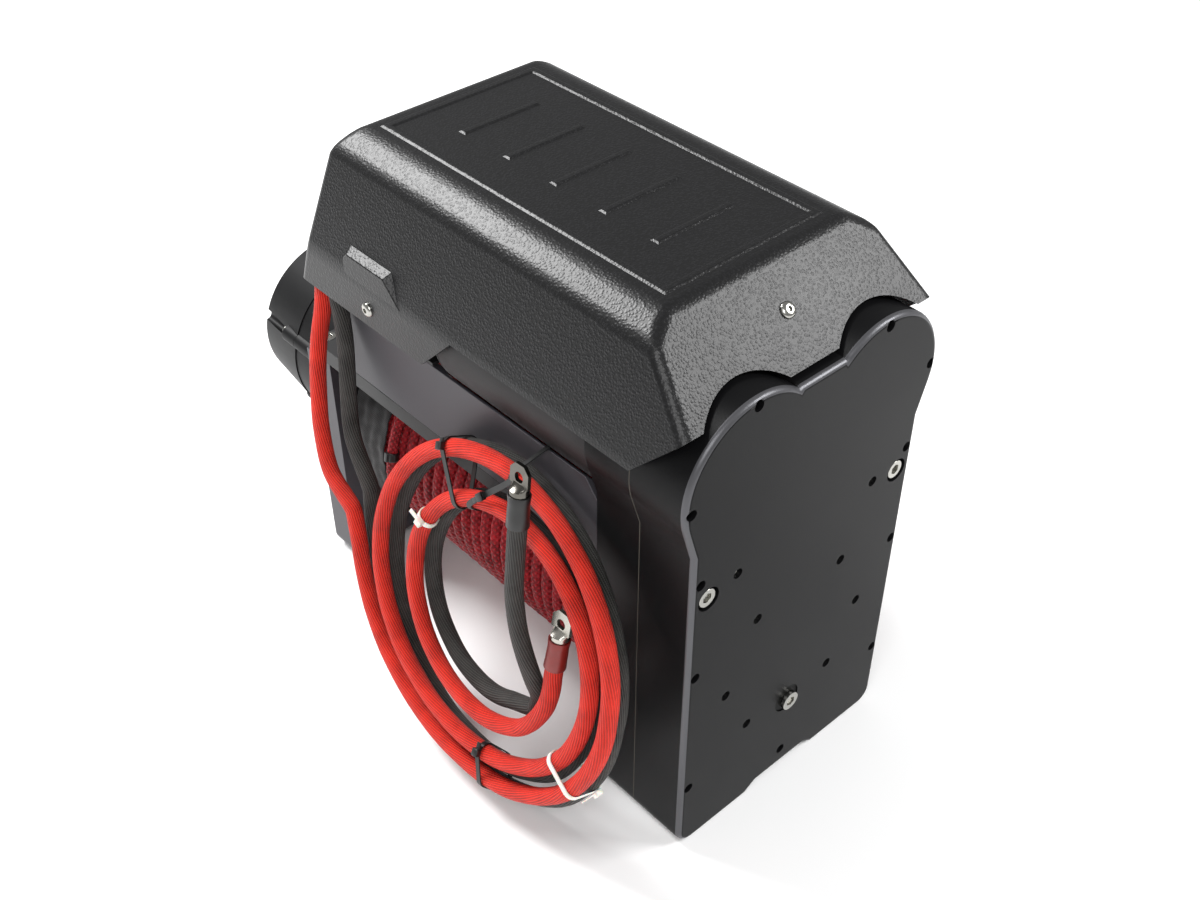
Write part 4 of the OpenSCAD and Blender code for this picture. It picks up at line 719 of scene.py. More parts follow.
red_line = even_line(red_line, CORD_STEP)
black_line = even_line(black_line, CORD_STEP)
red_cord = tube("red_battery_lead", red_line, CORD_SIDES, lead_radius(0.4), (1, 0, 0))
black_cord = tube("black_battery_lead", black_line, CORD_SIDES, lead_radius(2.1), (1, 0, 0))
finish_piece(red_cord, RED_BRAID, "frame", "red_rubber", "red_lead", "red_coil")
finish_piece(black_cord, BLACK_BRAID, "frame", "black_rubber", "black_lead", "black_coil")


# Lugs, shrunk sleeves and ties
def lead_frame(point, way):
    """A frame at a lead's end whose Z runs on along the lead, turned as in the CAD."""
    tilt = math.acos(max(-1.0, min(1.0, way[2])))
    turn = math.atan2(way[1], way[0])
    spin = (Matrix.Rotation(turn, 4, "Z") @ Matrix.Rotation(tilt, 4, "Y")
        @ Matrix.Rotation(-turn, 4, "Z"))
    return Matrix.Translation(Vector(point) * MM) @ spin


def move_mesh(piece, matrix):
    """Moves a piece's mesh and leaves its object at the origin."""
    piece.data.transform(matrix)
    piece.data.update()
    return piece


BARREL_LENGTH = 26
EYE_RADIUS = 10.5
EYE_Z = 35.5
LUG_THICK = 3
LUG_HOLE = 4.25
PALM_HALF = 9.4
PALM_FOOT = EYE_Z - 6
PALM_TIP = EYE_Z + EYE_RADIUS - 0.3
PALM_CHAMFER = 5
LUG_SIDES = 40
# The steps from the round barrel to the flat palm
CRIMP_STEPS = [(2.0, 1.02, 0.55), (3.0, 1.05, 0.42), (1.0, 1.0, 1.0)]


def make_lug(name, point, way):
    """A crimped lug: a round barrel that flattens into a palm with a hole and rounded rims."""
    barrel = stepped_rod(name, BARREL_LENGTH, LEAD_D / 2, LUG_SIDES, CRIMP_STEPS)
    half = LUG_THICK / 2
    palm = block("palm", (-PALM_HALF, -half, PALM_FOOT), (PALM_HALF, half, PALM_TIP))
    for side in (-1, 1):
        slice_off(palm, (side * (PALM_HALF - PALM_CHAMFER), 0, PALM_TIP), (side, 0, 1))
    neck = block("neck", (-PALM_HALF, -half, BARREL_LENGTH + 3), (PALM_HALF, half, PALM_FOOT + 1))
    for side in (-1, 1):
        slice_off(neck, (side * PALM_HALF, 0, PALM_FOOT), (side * 2, 0, -1))
    hole = rod("hole", (0, -2 * LUG_THICK, EYE_Z), (0, 2 * LUG_THICK, EYE_Z), LUG_HOLE, 32)
    combine(palm, "DIFFERENCE", hole)
    combine(barrel, "UNION", palm, neck)
    turn_outwards(barrel)
    soften(barrel, 0.4, 3, 40)
    smooth(barrel, 30)
    flatten_shading(barrel)
    return move_mesh(barrel, lead_frame(point, way))


SHRINK_WALL = 1.2
SHRINK_START = -4
# Each waist of the shrink tube: its height on the barrel, and its share of the radius
SHRINK_WAISTS = [(4, 0.96), (9, 0.985), (15, 0.95)]


def make_sleeve(name, point, way):
    """Shrink tube over the crimp: waisted over the lead, thick at its lips."""
    sleeve = rod(name, (0, 0, SHRINK_START), (0, 0, BARREL_LENGTH + SHRINK_START),
        LEAD_D / 2 + SHRINK_WALL, LUG_SIDES)
    bore = rod("bore", (0, 0, SHRINK_START - 2), (0, 0, BARREL_LENGTH), LEAD_D / 2 + 0.05, LUG_SIDES)
    with editing(sleeve):
        for level, share in SHRINK_WAISTS:
            bpy.ops.mesh.select_all(action="SELECT")
            bpy.ops.mesh.bisect(plane_co=(0, 0, level * MM), plane_no=(0, 0, 1))
            bpy.ops.transform.resize(value=(share, share, 1), center_override=(0, 0, level * MM))
    combine(sleeve, "DIFFERENCE", bore)
    soften(sleeve, 0.4, 2, 40)
    smooth(sleeve, 50)
    return move_mesh(sleeve, lead_frame(point, way))


red_lug = finish_piece(make_lug("red_lead_lug", RED_END, RED_WAY), TINNED,
    "frame", "tinned_lug", "red_lug")
black_lug = finish_piece(make_lug("black_lead_lug", BLACK_END, BLACK_WAY), DARK_TINNED,
    "frame", "tinned_lug", "black_lug")
red_shrink = finish_piece(make_sleeve("red_lead_shrink_sleeve", RED_END, RED_WAY), RED_SHRINK,
    "frame", "red_rubber", "lug_sleeves")
black_shrink = finish_piece(make_sleeve("black_lead_shrink_sleeve", BLACK_END, BLACK_WAY), SHRINK,
    "frame", "black_rubber", "lug_sleeves")

TIE_WIDTH = 4.6
TIE_THICK = 1.1
TIE_HEAD = 6.5
HULL_SAMPLES = 20


def strands_near(point, way, reach):
    """Where the leads cross the plane through a point, within a reach of it."""
    found = []
    for line in (red_line, black_line):
        for a, b in zip(line, line[1:]):
            before, after = (a - point).dot(way), (b - point).dot(way)
            if before * after <= 0 and before != after:
                hit = a.lerp(b, before / (before - after))
                if (hit - point).length < reach:
                    found.append(hit)
    return found


def round_hull(centres, radius):
    """The outline of a tight band round several circles, as points in their plane."""
    dots = []
    for u, v in centres:
        for k in range(HULL_SAMPLES):
            turn = 2 * math.pi * k / HULL_SAMPLES
            dots.append((u + radius * math.cos(turn), v + radius * math.sin(turn)))
    dots.sort()
    chain = []
    for side in (dots, list(reversed(dots))):
        half = []
        for d in side:
            while len(half) > 1:
                (ax, ay), (bx, by) = half[-2:]
                if (bx - ax) * (d[1] - ay) - (by - ay) * (d[0] - ax) > 0:
                    break
                half.pop()
            half.append(d)
        chain += half[:-1]
    return chain


def band(name, rows, closed):
    """A flat nylon band through rows of (point, outward direction, sideways direction)."""
    corners = ((-1, 0), (1, 0), (1, 1), (-1, 1))
    return loft(name, [[point + side * across * TIE_WIDTH / 2 + out * rise * TIE_THICK
        for across, rise in corners] for point, out, side in rows], closed)


def tie_head(name, place, out, along, tail):
    """The lock of a cable tie: a rounded box with a slot, and the cut tail that stands out of it."""
    half = TIE_HEAD / 2
    head = block(name, (-half, -half, 0), (half, half, TIE_HEAD * 0.75))
    soften(head, 0.9, 3)
    slot = block("slot", (-TIE_HEAD, -TIE_WIDTH * 0.4, TIE_HEAD * 0.42),
        (-TIE_HEAD * 0.2, TIE_WIDTH * 0.4, TIE_HEAD * 0.6))
    combine(head, "DIFFERENCE", slot)
    strap = block("strap", (0, -TIE_WIDTH * 0.45, TIE_HEAD * 0.15),
        (half + tail, TIE_WIDTH * 0.45, TIE_HEAD * 0.32))
    soften(strap, 0.3)
    combine(head, "UNION", strap)
    spin = Matrix((along, out.cross(along), out)).transposed().to_4x4()
    return move_mesh(head, Matrix.Translation(place * MM) @ spin)


def lock_tie(strap, head):
    """Joins a tie's head to its strap, and rounds and shades both."""
    join(strap, head)
    soften(strap, 0.25, 1, 60)
    smooth(strap, 40)
    return strap


def make_tie(name, line, index, reach, aim, tail, along_side):
    """A cable tie round every strand within its reach, with its head on the side it is aimed at."""
    point, way = line[index], (line[index + 1] - line[index - 1]).normalized()
    across = way.cross(Vector((0, 0, 1))).normalized()
    up = across.cross(way)
    centres = [((hit - point).dot(across), (hit - point).dot(up))
        for hit in strands_near(point, way, reach)]
    outline = round_hull(centres, LEAD_D / 2 + 0.25)
    rows = []
    for k, (u, v) in enumerate(outline):
        before, after = outline[k - 1], outline[(k + 1) % len(outline)]
        run = Vector((after[0] - before[0], after[1] - before[1])).normalized()
        rows.append((point + across * u + up * v, across * run[1] - up * run[0], way))
    aim = Vector(aim)
    place, out, _ = max(rows, key=lambda row: row[1].dot(aim) + 0.004 * (row[0] - point).dot(aim))
    loop = band(name, rows, True)
    along = out.cross(way).normalized() * along_side
    return lock_tie(loop, tie_head("head", place, out, along, tail))


# The hanging tie passes the coil at these rings, and the plate's top edge at this X
HANGING_RING = 44
HANGING_OUTER_RING = 18
HANGING_EDGE_X = 88
KNOT_PARTS = 8
HANGING_HEAD_KNOT = 3


def make_hanging_tie():
    """The long tie that hangs the coil: round its inner strands, up, and over the plate's edge."""
    point = black_cad_coil[HANGING_RING]
    way = (black_cad_coil[HANGING_RING + 1] - black_cad_coil[HANGING_RING - 1]).normalized()
    inner = red_cad_coil[HANGING_RING - 1]
    outer = red_cad_coil[HANGING_OUTER_RING].lerp(red_cad_coil[HANGING_OUTER_RING - 1], 0.15)
    lift = LEAD_D / 2 + 0.4
    top = Vector((HANGING_EDGE_X, -HALF_DEPTH - 0.4, PLATE_TOP + 0.4))
    # Each strand that the tie touches, and the sides on which it does
    touches = [(point, (0, 1, -0.3)), (point, (0, 0.2, -1)), (inner, (0, -0.5, -0.9)),
        (inner, (0, -1, 0.25)), (outer, (-0.15, -1, -0.1)), (outer, (0.1, -0.45, 0.9))]
    knots = [strand + Vector(side).normalized() * lift for strand, side in touches]
    knots += [top, top + Vector((0, 3.2, 0.6)), top + Vector((0.6, 9.0, -1.5))]
    path = smooth_route(knots, KNOT_PARTS, 2 * knots[0] - knots[1], 2 * knots[-1] - knots[-2])
    rows = []
    for k, place in enumerate(path):
        run = (path[min(k + 1, len(path) - 1)] - path[max(k - 1, 0)]).normalized()
        side = (way - run * way.dot(run)).normalized()
        out = run.cross(side)
        rows.append((place, -out if out.dot(place - point) < 0 else out, side))
    strap = band("black_tie_hanging", rows, False)
    spot = HANGING_HEAD_KNOT * KNOT_PARTS + 3
    run = (path[spot + 1] - path[spot - 1]).normalized()
    return lock_tie(strap, tie_head("head", path[spot], rows[spot][1], -run, 9))


# Each tie's name, line, ring on it, reach, aim, tail, side of the tail, material, slot and node
ties = [
    ("black_tie_top", red_cad_coil, 20, 46, (0, -0.8, 0.6), 3, -1,
        BLACK_NYLON, "black_plastic", "black_ties"),
    ("black_tie_low", black_cad_coil, 32, 34, (0, -0.7, 0.7), 5, 1,
        BLACK_NYLON, "black_plastic", "black_ties"),
    ("clear_tie_left", red_cad_coil, 46, 14, (0, -1, 0.2), 9, -1,
        CLEAR_NYLON, "clear_nylon", "clear_ties"),
    ("clear_tie_low", red_cad_coil, 10, 24, (0, -0.2, -1), 12, 1,
        CLEAR_NYLON, "clear_nylon", "clear_ties")]
tie_pieces = [finish_piece(make_hanging_tie(), BLACK_NYLON, "frame", "black_plastic", "black_ties")]
for *shape, material, slot_name, node in ties:
    tie_pieces.append(finish_piece(make_tie(*shape), material, "frame", slot_name, node))


# Cover
TOP_HALF = 87
BEVEL_HALF = 108
SIDE_HALF = 134.5
BEVEL_Z = COVER_TOP - 12.5
COVER_XS = {"top": 79 - END_X, "bevel": 67 - END_X, "fold": 56 - END_X, "skirt": 42 - END_X}
COVER_WALL = 3
COVER_ROUND = 7
STEP_X = -32
SADDLE_CLEAR = 3.7
SADDLE_TOP_Z = MOTOR_Z + 53.8
# The slant from the tip over the housing back to the fold, in X to each unit of Z
TIP_SLANT = 0.9


def slope_normal(a, b):
    """The outward normal, in the plane of a section, of the line from a up to b."""
    run, rise = b[0] - a[0], b[1] - a[1]
    length = math.hypot(run, rise)
    return rise / length, -run / length


def make_cover():
    """A moulded sheet hood: a box sliced to its slopes, rounded, opened below and given its wall."""
    hood = block("cover_hood", (COVER_XS["skirt"], -SIDE_HALF, SKIRT_Z),
        (END_SUM - SKIRT_Z, SIDE_HALF, COVER_TOP))
    flank = [(SIDE_HALF, FOLD_Z), (BEVEL_HALF, BEVEL_Z), (TOP_HALF, COVER_TOP)]
    for side in (-1, 1):
        for a, b in zip(flank, flank[1:]):
            y, z = slope_normal(a, b)
            slice_off(hood, (0, side * a[0], a[1]), (0, side * y, z))
    left = [(COVER_XS["fold"], FOLD_Z), (COVER_XS["bevel"], BEVEL_Z), (COVER_XS["top"], COVER_TOP)]
    for a, b in zip(left, left[1:]):
        x, z = slope_normal(a, b)
        slice_off(hood, (a[0], 0, a[1]), (-x, 0, -z))
    # The left end flares out again below the fold
    slice_off(hood, (0, 0, FOLD_Z), (0, 0, 1), keep=True)
    lean = (COVER_XS["bevel"] - COVER_XS["fold"]) / (BEVEL_Z - FOLD_Z)
    flare = COVER_XS["fold"] - COVER_XS["skirt"] - lean * (FOLD_Z - SKIRT_Z)
    with editing(hood):
        select_in(hood, "EDGE", lambda e: heights(e)[1] < SKIRT_Z + 1
            and all(v.co.x < 0.5 * COVER_XS["fold"] * MM for v in e.verts))
        bpy.ops.transform.translate(value=(-flare * MM, 0, 0))
    slice_off(hood, (END_SUM - TIP_Z, 0, TIP_Z), (1, 0, 1))
    round_edges(hood, COVER_ROUND, 5, lambda e: sharp(e, 8) and heights(e)[1] > SKIRT_Z + 1)
    # The lower rim: a step up from the skirt on the right, and a slant to the tip over the housing
    tip_x = END_SUM - TIP_Z
    rim_x = tip_x - (TIP_Z - FOLD_Z) * TIP_SLANT
    slice_off(hood, (STEP_X, 0, SKIRT_Z), (1, 0, -1), keep=True)
    slice_off(hood, (0, 0, FOLD_Z), (0, 0, -1), keep=True)
    slice_off(hood, (tip_x, 0, TIP_Z), (TIP_Z - FOLD_Z, 0, rim_x - tip_x), keep=True)

    def below_rim(face):
        x, z = face.calc_center_median().x / MM, face.calc_center_median().z / MM
        under_step = z < FOLD_Z and x - STEP_X > z - SKIRT_Z
        under_tip = z < TIP_Z and (x - rim_x) * (TIP_Z - FOLD_Z) > (z - FOLD_Z) * (tip_x - rim_x)
        return z < SKIRT_Z + 0.5 or under_step or under_tip
    with editing(hood):
        select_in(hood, "FACE", below_rim)
        bpy.ops.mesh.delete(type="FACE")
    apply(hood, "SOLIDIFY", thickness=COVER_WALL * MM, offset=-1, use_even_offset=True)
    # The motors' lobes of the housing stand up into the right end
    for y in (-MOTOR_Y, MOTOR_Y):
        combine(hood, "DIFFERENCE", rod("saddle", (CASE_X, y, MOTOR_Z), (2 * END_X, y, MOTOR_Z),
            MOTOR_R + SADDLE_CLEAR, 96))
    combine(hood, "DIFFERENCE", block("saddle", (CASE_X, -MOTOR_Y, FOLD_Z - 15),
        (2 * END_X, MOTOR_Y, SADDLE_TOP_Z)))
    turn_outwards(hood)
    return hood


PAD_X = (-125, -50)
PAD_RISE = 26
PAD_ROUND = 1.4
PAD_SINK = 2
# The planes that trim a pad: X, height over the fold, and the outward normal on the rear side
PAD_PLANES = [(0, 17.5, (0, 0.51, 0.86)), (-76, 20, (24, 30, 16)), (-117, 20, (-24, 30, 10))]


def cover_pads(hood):
    """A raised pad over each bracket screw, with a soft rim."""
    inner_y, inner_z = slope_normal((SIDE_HALF, FOLD_Z), (BEVEL_HALF, BEVEL_Z))
    for side in (-1, 1):
        low, high = sorted((side * SIDE_HALF, side * BEVEL_HALF))
        pad = block("pad", (PAD_X[0], low, FOLD_Z - 1), (PAD_X[1], high, FOLD_Z + PAD_RISE))
        for x, rise, (nx, ny, nz) in PAD_PLANES:
            slice_off(pad, (x, side * SIDE_HALF, FOLD_Z + rise), (nx, side * ny, nz))
        slice_off(pad, (0, side * (SIDE_HALF - PAD_SINK), FOLD_Z), (0, -side * inner_y, -inner_z))
        round_edges(pad, PAD_ROUND, 3, lambda e: sharp(e) and heights(e)[1] > FOLD_Z + 5)
        combine(hood, "UNION", pad)


RIB_INSET = 10
RIB_WIDTH = 11
RIB_RISE = 1.2
# By how much a rib's crown is narrower and shorter than its foot
RIB_SLANT = 7.2
RIB_BARS = 5


def cover_ribs(hood):
    """Generic raised lines on the top: a border and five bars, with rounded crowns."""
    x0, x1 = COVER_XS["top"] + RIB_INSET, END_SUM - COVER_TOP - RIB_INSET
    y1 = TOP_HALF - RIB_INSET
    half = RIB_WIDTH / 2
    bars = [((x0, -y1), (x1, RIB_WIDTH - y1)), ((x0, y1 - RIB_WIDTH), (x1, y1)),
        ((x0, -y1), (x0 + RIB_WIDTH, y1)), ((x1 - RIB_WIDTH, -y1), (x1, y1))]
    step = (x1 - x0) / (RIB_BARS + 1)
    bars += [((x0 + i * step - half, -y1 / 2), (x0 + i * step + half, y1 / 2))
        for i in range(1, RIB_BARS + 1)]
    for (ax, ay), (bx, by) in bars:
        bar = block("bar", (ax, ay, COVER_TOP - 1), (bx, by, COVER_TOP + RIB_RISE))
        middle = ((ax + bx) / 2 * MM, (ay + by) / 2 * MM, COVER_TOP * MM)
        with editing(bar):
            select_in(bar, "FACE", lambda f: f.normal.z > 0.9)
            bpy.ops.transform.resize(center_override=middle,
                value=(1 - RIB_SLANT / (bx - ax), 1 - RIB_SLANT / (by - ay), 1))
        round_edges(bar, RIB_RISE / 2, 3, lambda e: sharp(e) and heights(e)[0] > COVER_TOP)
        combine(hood, "UNION", bar)


cover = make_cover()
cover_pads(cover)
cover_ribs(cover)
turn_outwards(cover)
smooth(cover, 30)
flatten_shading(cover)
finish_piece(cover, LEATHER_GRAIN, "frame", "cover_plastic", "cover")


# Gear housing
RIM_ROUND = 4.5
RIM_DEPTH = 90
SHORTEST_RIM_EDGE = 1.4
SMALLEST_RIM_TURN = 15
ENVELOPE_GAP = 0.02


def face_outline(piece, x):
    """The longest edge loop round the flat face at x, as points in order."""
    mesh = bmesh.new()
    mesh.from_mesh(piece.data)
    rim = [e for e in mesh.edges if all(abs(v.co.x - x * MM) < 1e-5 for v in e.verts)
        and any(abs(f.normal.x) < 0.5 for f in e.link_faces)]
    left, loops = rim, []
    while left:
        edge = left.pop()
        loop, end = [edge.verts[0]], edge.verts[1]
        while end != loop[0]:
            loop.append(end)
            edge = next((e for e in end.link_edges if e in left), None)
            if edge is None:
                break
            left.remove(edge)
            end = edge.other_vert(end)
        loops.append([v.co / MM for v in loop])
    mesh.free()
    longest = max(loops, key=line_length)
    kept = [longest[0]]
    for place, following in zip(longest[1:], longest[2:] + longest[:1]):
        turn = (place - kept[-1]).angle(following - place, 0)
        if (place - kept[-1]).length > SHORTEST_RIM_EDGE or turn > math.radians(SMALLEST_RIM_TURN):
            kept.append(place)
    return kept


def round_rim(piece, x, depth):
    """Rounds the outline of the face at x, holes or not, by an envelope that the piece is cut to."""
    loop = face_outline(piece, x)
    area = sum(a.y * b.z - b.y * a.z for a, b in zip(loop, loop[1:] + loop[:1]))
    ring = []
    for k, place in enumerate(loop):
        run = (loop[(k + 1) % len(loop)] - loop[k - 1]).normalized() * (1 if area > 0 else -1)
        ring.append(place + Vector((1, run.z, -run.y)) * ENVELOPE_GAP)
    back = Vector((depth, 0, 0))
    envelope = loft("envelope", [ring, [place - back for place in ring]])
    round_edges(envelope, RIM_ROUND, 5, lambda e: all(v.co.x > x * MM for v in e.verts), clamp=False)
    combine(piece, "INTERSECT", envelope)
    with editing(piece, everything=True):
        bpy.ops.mesh.remove_doubles(threshold=5e-6)
        bpy.ops.mesh.dissolve_degenerate(threshold=5e-6)


def mark_rim(piece, x):
    """Writes which faces belong to the rounded outline of the face at x, for the painted highlight
    along the rim.
    """
    highlight_mask = piece.data.attributes.new("rim_painted_highlight", "FLOAT", "FACE")
    for face in piece.data.polygons:
        on_rim = 0.1 < face.normal.x < 0.985 and face.center.x > (x - RIM_ROUND - 0.3) * MM
        highlight_mask.data[face.index].value = 1.0 if on_rim else 0.0


housing = copy_of("gear_case_outer", "gear_housing_outer_half")
round_rim(housing, END_X, RIM_DEPTH)
smooth(housing)
for face in housing.data.polygons:
    if face.normal.x > 0.9999:
        face.use_smooth = False
flatten_shading(housing)
mark_rim(housing, END_X)
finish_piece(housing, HOUSING_PAINT, "frame", "black_paint", "gear_case_outer")

# Castings, plates, bars, motors and gearbox: node, name, rounding, material and slot
plain_pieces = [
    ("gear_case_inner", "gear_housing_inner_half", 0.5, HOUSING_PAINT, "black_paint"),
    ("left_frame", "left_end_casting", 1.2, PLATE_PAINT, "satin_alloy"),
    ("tie_bar_front", "front_tie_bar", 0.8, BAR_PAINT, "dark_alloy"),
    ("tie_bar_rear", "rear_tie_bar", 0.8, BAR_PAINT, "dark_alloy"),
    ("tie_plate_front", "front_tie_plate", 0.7, PLATE_PAINT, "satin_alloy"),
    ("tie_plate_rear", "rear_tie_plate", 0.7, PLATE_PAINT, "satin_alloy"),
    ("cover_shelf", "shelf_plate", 0.5, BAR_PAINT, "dark_alloy"),
    ("cover_brackets", "hood_brackets", 0.4, PLATE_PAINT, "satin_alloy"),
    ("front_motor_case", "front_motor_body", 0.8, MOTOR_PAINT, "motor_paint"),
    ("rear_motor_case", "rear_motor_body", 0.8, MOTOR_PAINT, "motor_paint"),
    ("gearbox_cap", "gearbox_end_cap", 1.5, GEARBOX_PAINT, "dark_alloy"),
    ("contactor", "contactor_pack", 1.5, BLACK_NYLON, "black_plastic"),
    ("motor_end_caps", "motor_end_bells", 1.5, MOTOR_PAINT, "motor_paint"),
    ("ring_gear_housing", "ring_gear_body", 0.8, GEARBOX_PAINT, "dark_alloy"),
    ("dowel_bolts", "dowel_socket_bolts", 0.5, ZINC, "zinc"),
    ("case_screws", "housing_socket_screws", 0.3, ZINC, "zinc"),
    ("tie_screws", "tie_bar_screws", 0.3, ZINC, "zinc"),
    ("gearbox_screws", "gearbox_cap_screws", 0.3, ZINC, "zinc"),
    ("lead_grommet", "lead_grommet_block", 0.4, RUBBER, "black_rubber")]
for row in plain_pieces:
    soft_copy(*row)

# A button-head screw's radii and length, and the steps of its dome
SCREW_HEAD_R = 6
SCREW_SOCKET_R = 2.3
SCREW_SHANK_R = 3
SCREW_LENGTH = 11
HEAD_STEPS = [(0.7, 0.93, 0.93), (0.6, 0.88, 0.88), (0.45, 0.8, 0.8), (0.22, 0.8, 0.8)]


def make_button_screw(name):
    """A button-head screw that stands on Z, with a domed head and a hexagon socket."""
    screw = stepped_rod(name, 1.0, SCREW_HEAD_R, 40, HEAD_STEPS)
    combine(screw, "DIFFERENCE", rod("socket", (0, 0, 1.2), (0, 0, 4), SCREW_SOCKET_R, 6))
    combine(screw, "UNION", rod("shank", (0, 0, -SCREW_LENGTH), (0, 0, 0.5), SCREW_SHANK_R, 24))
    smooth(screw, 28)
    return screw


BRACKET_SCREW_X = -97.5
BRACKET_SCREW_Z = SKIRT_Z + 16
END_SCREW_X = END_SUM - COVER_TOP + 26.5
first_screw = make_button_screw("hood_screw_front")
# The first screw's own mesh is moved last, after its copies are made
for name, place, degrees, axis in (
        ("hood_screw_rear", (BRACKET_SCREW_X, SIDE_HALF, BRACKET_SCREW_Z), -90, "X"),
        ("hood_screw_end", (END_SCREW_X, 0, END_SUM - END_SCREW_X), 45, "Y"),
        ("hood_screw_front", (BRACKET_SCREW_X, -SIDE_HALF, BRACKET_SCREW_Z), 90, "X")):
    screw = first_screw
    if name != "hood_screw_front":
        screw = add_piece(name, first_screw.data.copy())
    turn = Matrix.Rotation(math.radians(degrees), 4, axis)
    move_mesh(screw, Matrix.Translation(Vector(place) * MM) @ turn)
    finish_piece(screw, ZINC, "frame", "zinc", "cover_screws")

soft_copy("clutch_knob", "clutch_turn_knob", 1.2, BLACK_NYLON, "black_paint", "clutch_knob")

# Rope
LAYER_X0, LAYER_X1 = -190.7, 130.7
ROPE_R = 6
ROPE_TURNS = 24
WOUND_R = 107
ROPE_LINE_R = WOUND_R - ROPE_R
ROPE_PITCH = (LAYER_X1 - LAYER_X0 - 2 * ROPE_R) / ROPE_TURNS
ROPE_RINGS = 310
# How far the layer's ends dive, and over how many rings
ROPE_SINK = 12.5
ROPE_SINK_RINGS = 45
ROPE_STRANDS = 4
BRAID_DEPTH = 0.07


def on_drum(x, reach, angle):
    """A point at a radius and an angle about the drum's axis."""
    return Vector((x, reach * math.cos(angle), DRUM_Z + reach * math.sin(angle)))


def rope_reach(radius):
    """Braided rope: crossing strands leave a diamond of crowns on its surface."""
    def reach(along, angle):
        lay = along / (radius * 1.25)
        half = ROPE_STRANDS / 2
        crowns = math.cos(half * (angle + lay)) * math.cos(half * (angle - lay))
        return radius * (1 - BRAID_DEPTH + BRAID_DEPTH * crowns)
    return reach


def rope_helix():
    """The top layer's line from flange to flange; both its ends dive under it."""
    points = []
    last = ROPE_TURNS * ROPE_RINGS
    for i in range(last + 1):
        sunk = max(0.0, 1 - min(i, last - i) / ROPE_SINK_RINGS)
        points.append(on_drum(LAYER_X0 + ROPE_R + ROPE_PITCH * i / ROPE_RINGS,
            ROPE_LINE_R - ROPE_SINK * sunk * sunk, 2 * math.pi * i / ROPE_RINGS))
    return points


rope = tube("wound_rope", rope_helix(), 12, rope_reach(ROPE_R), (1, 0, 0))
finish_piece(rope, ROPE_YARN, "drum", "rope", "rope_layer")
core = copy_of("rope_core", "rope_under_layers")
smooth(core)
finish_piece(core, ROPE_YARN, "drum", "rope", "rope_core")

END_ROPE_X = -127.4
END_ROPE_R = 5
END_LINE_R = WOUND_R + 0.35 + END_ROPE_R
# The rope's end lies on the winding from this angle on, in degrees
END_START, END_SPAN, END_PARTS = 136, 50, 120
end_line = [on_drum(END_ROPE_X, END_LINE_R, math.radians(END_START + END_SPAN * i / END_PARTS))
    for i in range(END_PARTS + 1)]
rope_end = tube("rope_end_piece", end_line, 16, rope_reach(END_ROPE_R), (1, 0, 0))
finish_piece(rope_end, ROPE_YARN, "drum", "rope", "rope_end")

ROPE_TIE_RING, ROPE_TIE_RINGS = 72, 11


def whipping_reach(along, angle):
    """The small black tie on the rope's end: a band with a lock on its outer side."""
    lock = 1.6 if math.cos(angle - math.pi / 2) > 0.93 else 0
    return END_ROPE_R + 0.7 + lock


rope_tie = tube("rope_end_tie", end_line[ROPE_TIE_RING:ROPE_TIE_RING + ROPE_TIE_RINGS], 48,
    whipping_reach, (1, 0, 0))
finish_piece(rope_tie, BLACK_NYLON, "drum", "black_plastic")

# Where the cloth sleeve lies, in degrees about the drum and in millimetres, and its cells
SLEEVE_START, SLEEVE_SPAN = 130, 115
SLEEVE_X0 = LAYER_X0 + 0.3
SLEEVE_WIDTH = 47.4
SLEEVE_LIFT = 1.9
SLEEVE_ACROSS, SLEEVE_ALONG = 48, 120
# The map is in metres: a cell's width and length
SLEEVE_CELL = (0.001, 0.00182)


def make_rope_sleeve():
    """A strip of woven cloth wrapped over the left turns, with soft folds over their valleys."""
    mesh = bmesh.new()
    uv = mesh.loops.layers.uv.new("flat")
    rows = []
    for j in range(SLEEVE_ALONG + 1):
        angle = math.radians(SLEEVE_START + SLEEVE_SPAN * j / SLEEVE_ALONG)
        row = []
        for i in range(SLEEVE_ACROSS + 1):
            x = SLEEVE_X0 + SLEEVE_WIDTH * i / SLEEVE_ACROSS
            valley = 0.35 * math.cos(2 * math.pi * (x - LAYER_X0 - ROPE_R) / ROPE_PITCH)
            # Long folds across the strip that wander along it, with short wrinkles over them
            fold = 0.5 * math.sin(j * 0.33 + 1.3 * math.sin(i * 0.21))
            fold += 0.3 * math.sin(j * 0.9 + i * 0.17)
            row.append(mesh.verts.new(on_drum(x, WOUND_R + SLEEVE_LIFT + valley + fold, angle) * MM))
        rows.append(row)
    for j in range(SLEEVE_ALONG):
        for i in range(SLEEVE_ACROSS):
            corners = ((i, j), (i + 1, j), (i + 1, j + 1), (i, j + 1))
            face = mesh.faces.new([rows[b][a] for a, b in corners])
            for loop, (a, b) in zip(face.loops, corners):
                loop[uv].uv = (a * SLEEVE_CELL[0], b * SLEEVE_CELL[1])
            face.smooth = True
    piece = piece_of(mesh, "rope_cloth_sleeve")
    apply(piece, "SOLIDIFY", thickness=1.0 * MM, offset=0)
    return piece


sleeve = finish_piece(make_rope_sleeve(), CLOTH, "drum", "sleeve_cloth", "rope_sleeve")

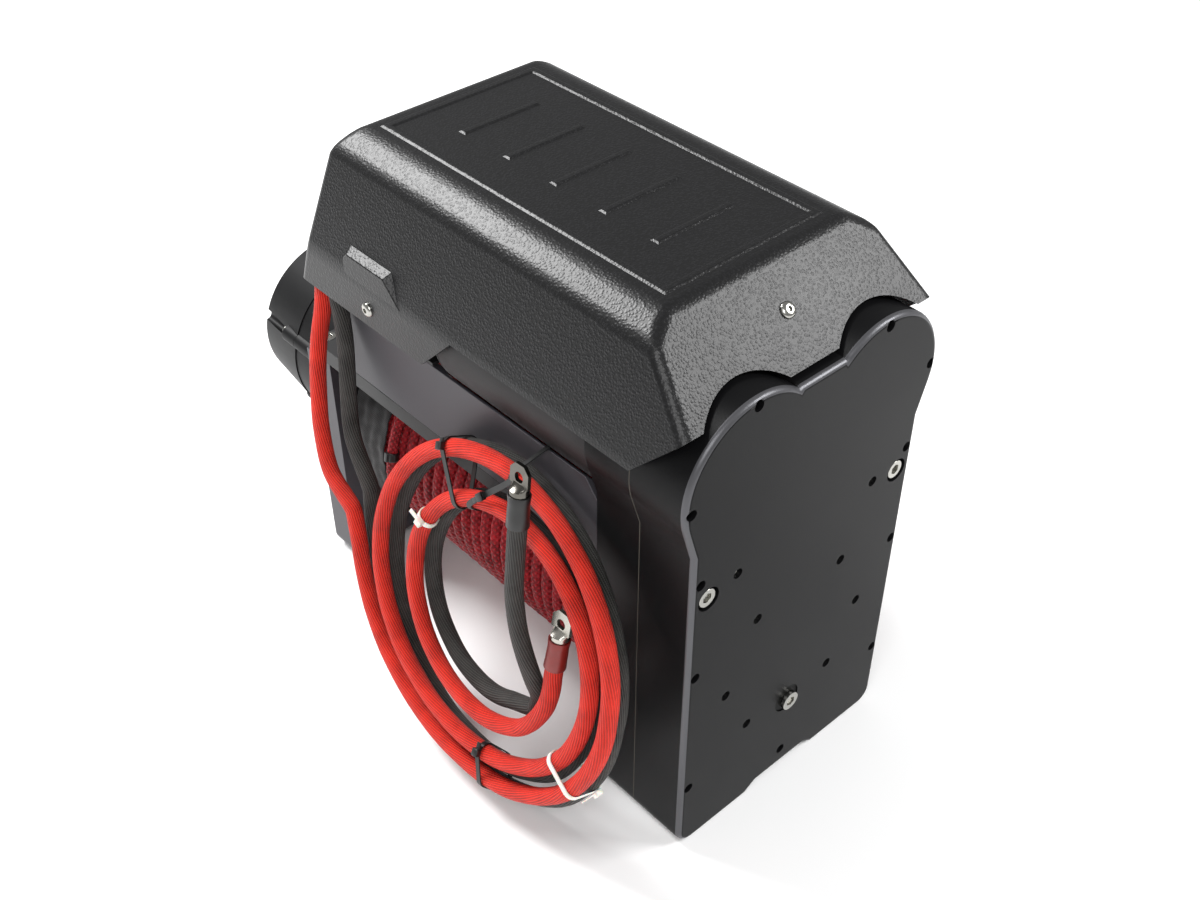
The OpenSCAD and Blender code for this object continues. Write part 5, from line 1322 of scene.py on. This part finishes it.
# The nodes that keep their CAD shape
dress_table = [
    (HUB_FINISH, "brake_shaft"),
    (GASKET, "gear_case_gasket"),
    (ZINC, "hub_bolt"),
    (PLATE_PAINT, "bearing_carrier"),
    (FERRITE, "motor_magnets"),
    (BRASS, "motor_brushes power_terminals drum_bushes"),
    (DRUM_PAINT, "drum"),
    (STEEL, "bearings output_carrier drive_shaft output_gear first_carrier idler_gear"),
    (STEEL, "front_armature rear_armature first_planet_1 first_planet_2 first_planet_3"),
    (STEEL, "second_planet_1 second_planet_2 second_planet_3"),
    (LINING, "brake_discs")]
for material, names in dress_table:
    for node in names.split():
        dress(node, material)


# Floor and light
def make_floor():
    """A plain white floor that runs out past every view."""
    bpy.ops.object.select_all(action="DESELECT")
    bpy.ops.mesh.primitive_plane_add(size=30, location=(0, 0, -0.0005))
    floor = bpy.context.active_object
    floor.name = "studio_floor"
    material, tree, shader, place = start_material("matt_white_floor", "#f4f4f4", 0.9)
    blend_colours(tree, shader, noise(tree, (place, "Object"), 4.0), "#f8f8f8", "#fcfcfc")
    floor.data.materials.append(material)


def make_light(name, place, aim, side, power):
    """A soft square light that faces a point; the power is in watts."""
    data = bpy.data.lights.new(name, "AREA")
    data.shape = "RECTANGLE"
    data.size = data.size_y = side
    data.energy = power
    light = bpy.data.objects.new(name, data)
    light.location = place
    light.rotation_euler = (Vector(aim) - Vector(place)).to_track_quat("-Z", "Y").to_euler()
    bpy.context.scene.collection.objects.link(light)


WORLD_STRENGTH = 0.36
make_floor()
world = bpy.data.worlds.new("studio_world")
bpy.context.scene.world = world
world.use_nodes = True
background = world.node_tree.nodes["Background"]
background.inputs["Color"].default_value = (1, 1, 1, 1)
background.inputs["Strength"].default_value = WORLD_STRENGTH
bpy.context.scene.view_settings.view_transform = "Standard"
# Each softbox stands where a bright face of the photograph mirrors it to the camera
make_light("bevel_softbox", (-1.54, -0.54, 1.97), (0, -0.1, 0.46), 0.85, 74)
make_light("end_softbox", (1.41, 1.41, 1.6), (0.19, 0, 0.44), 0.85, 41)
make_light("camera_softbox", (1.5, -1.7, 2.1), (0.1, 0, 0.1), 1.5, 40)
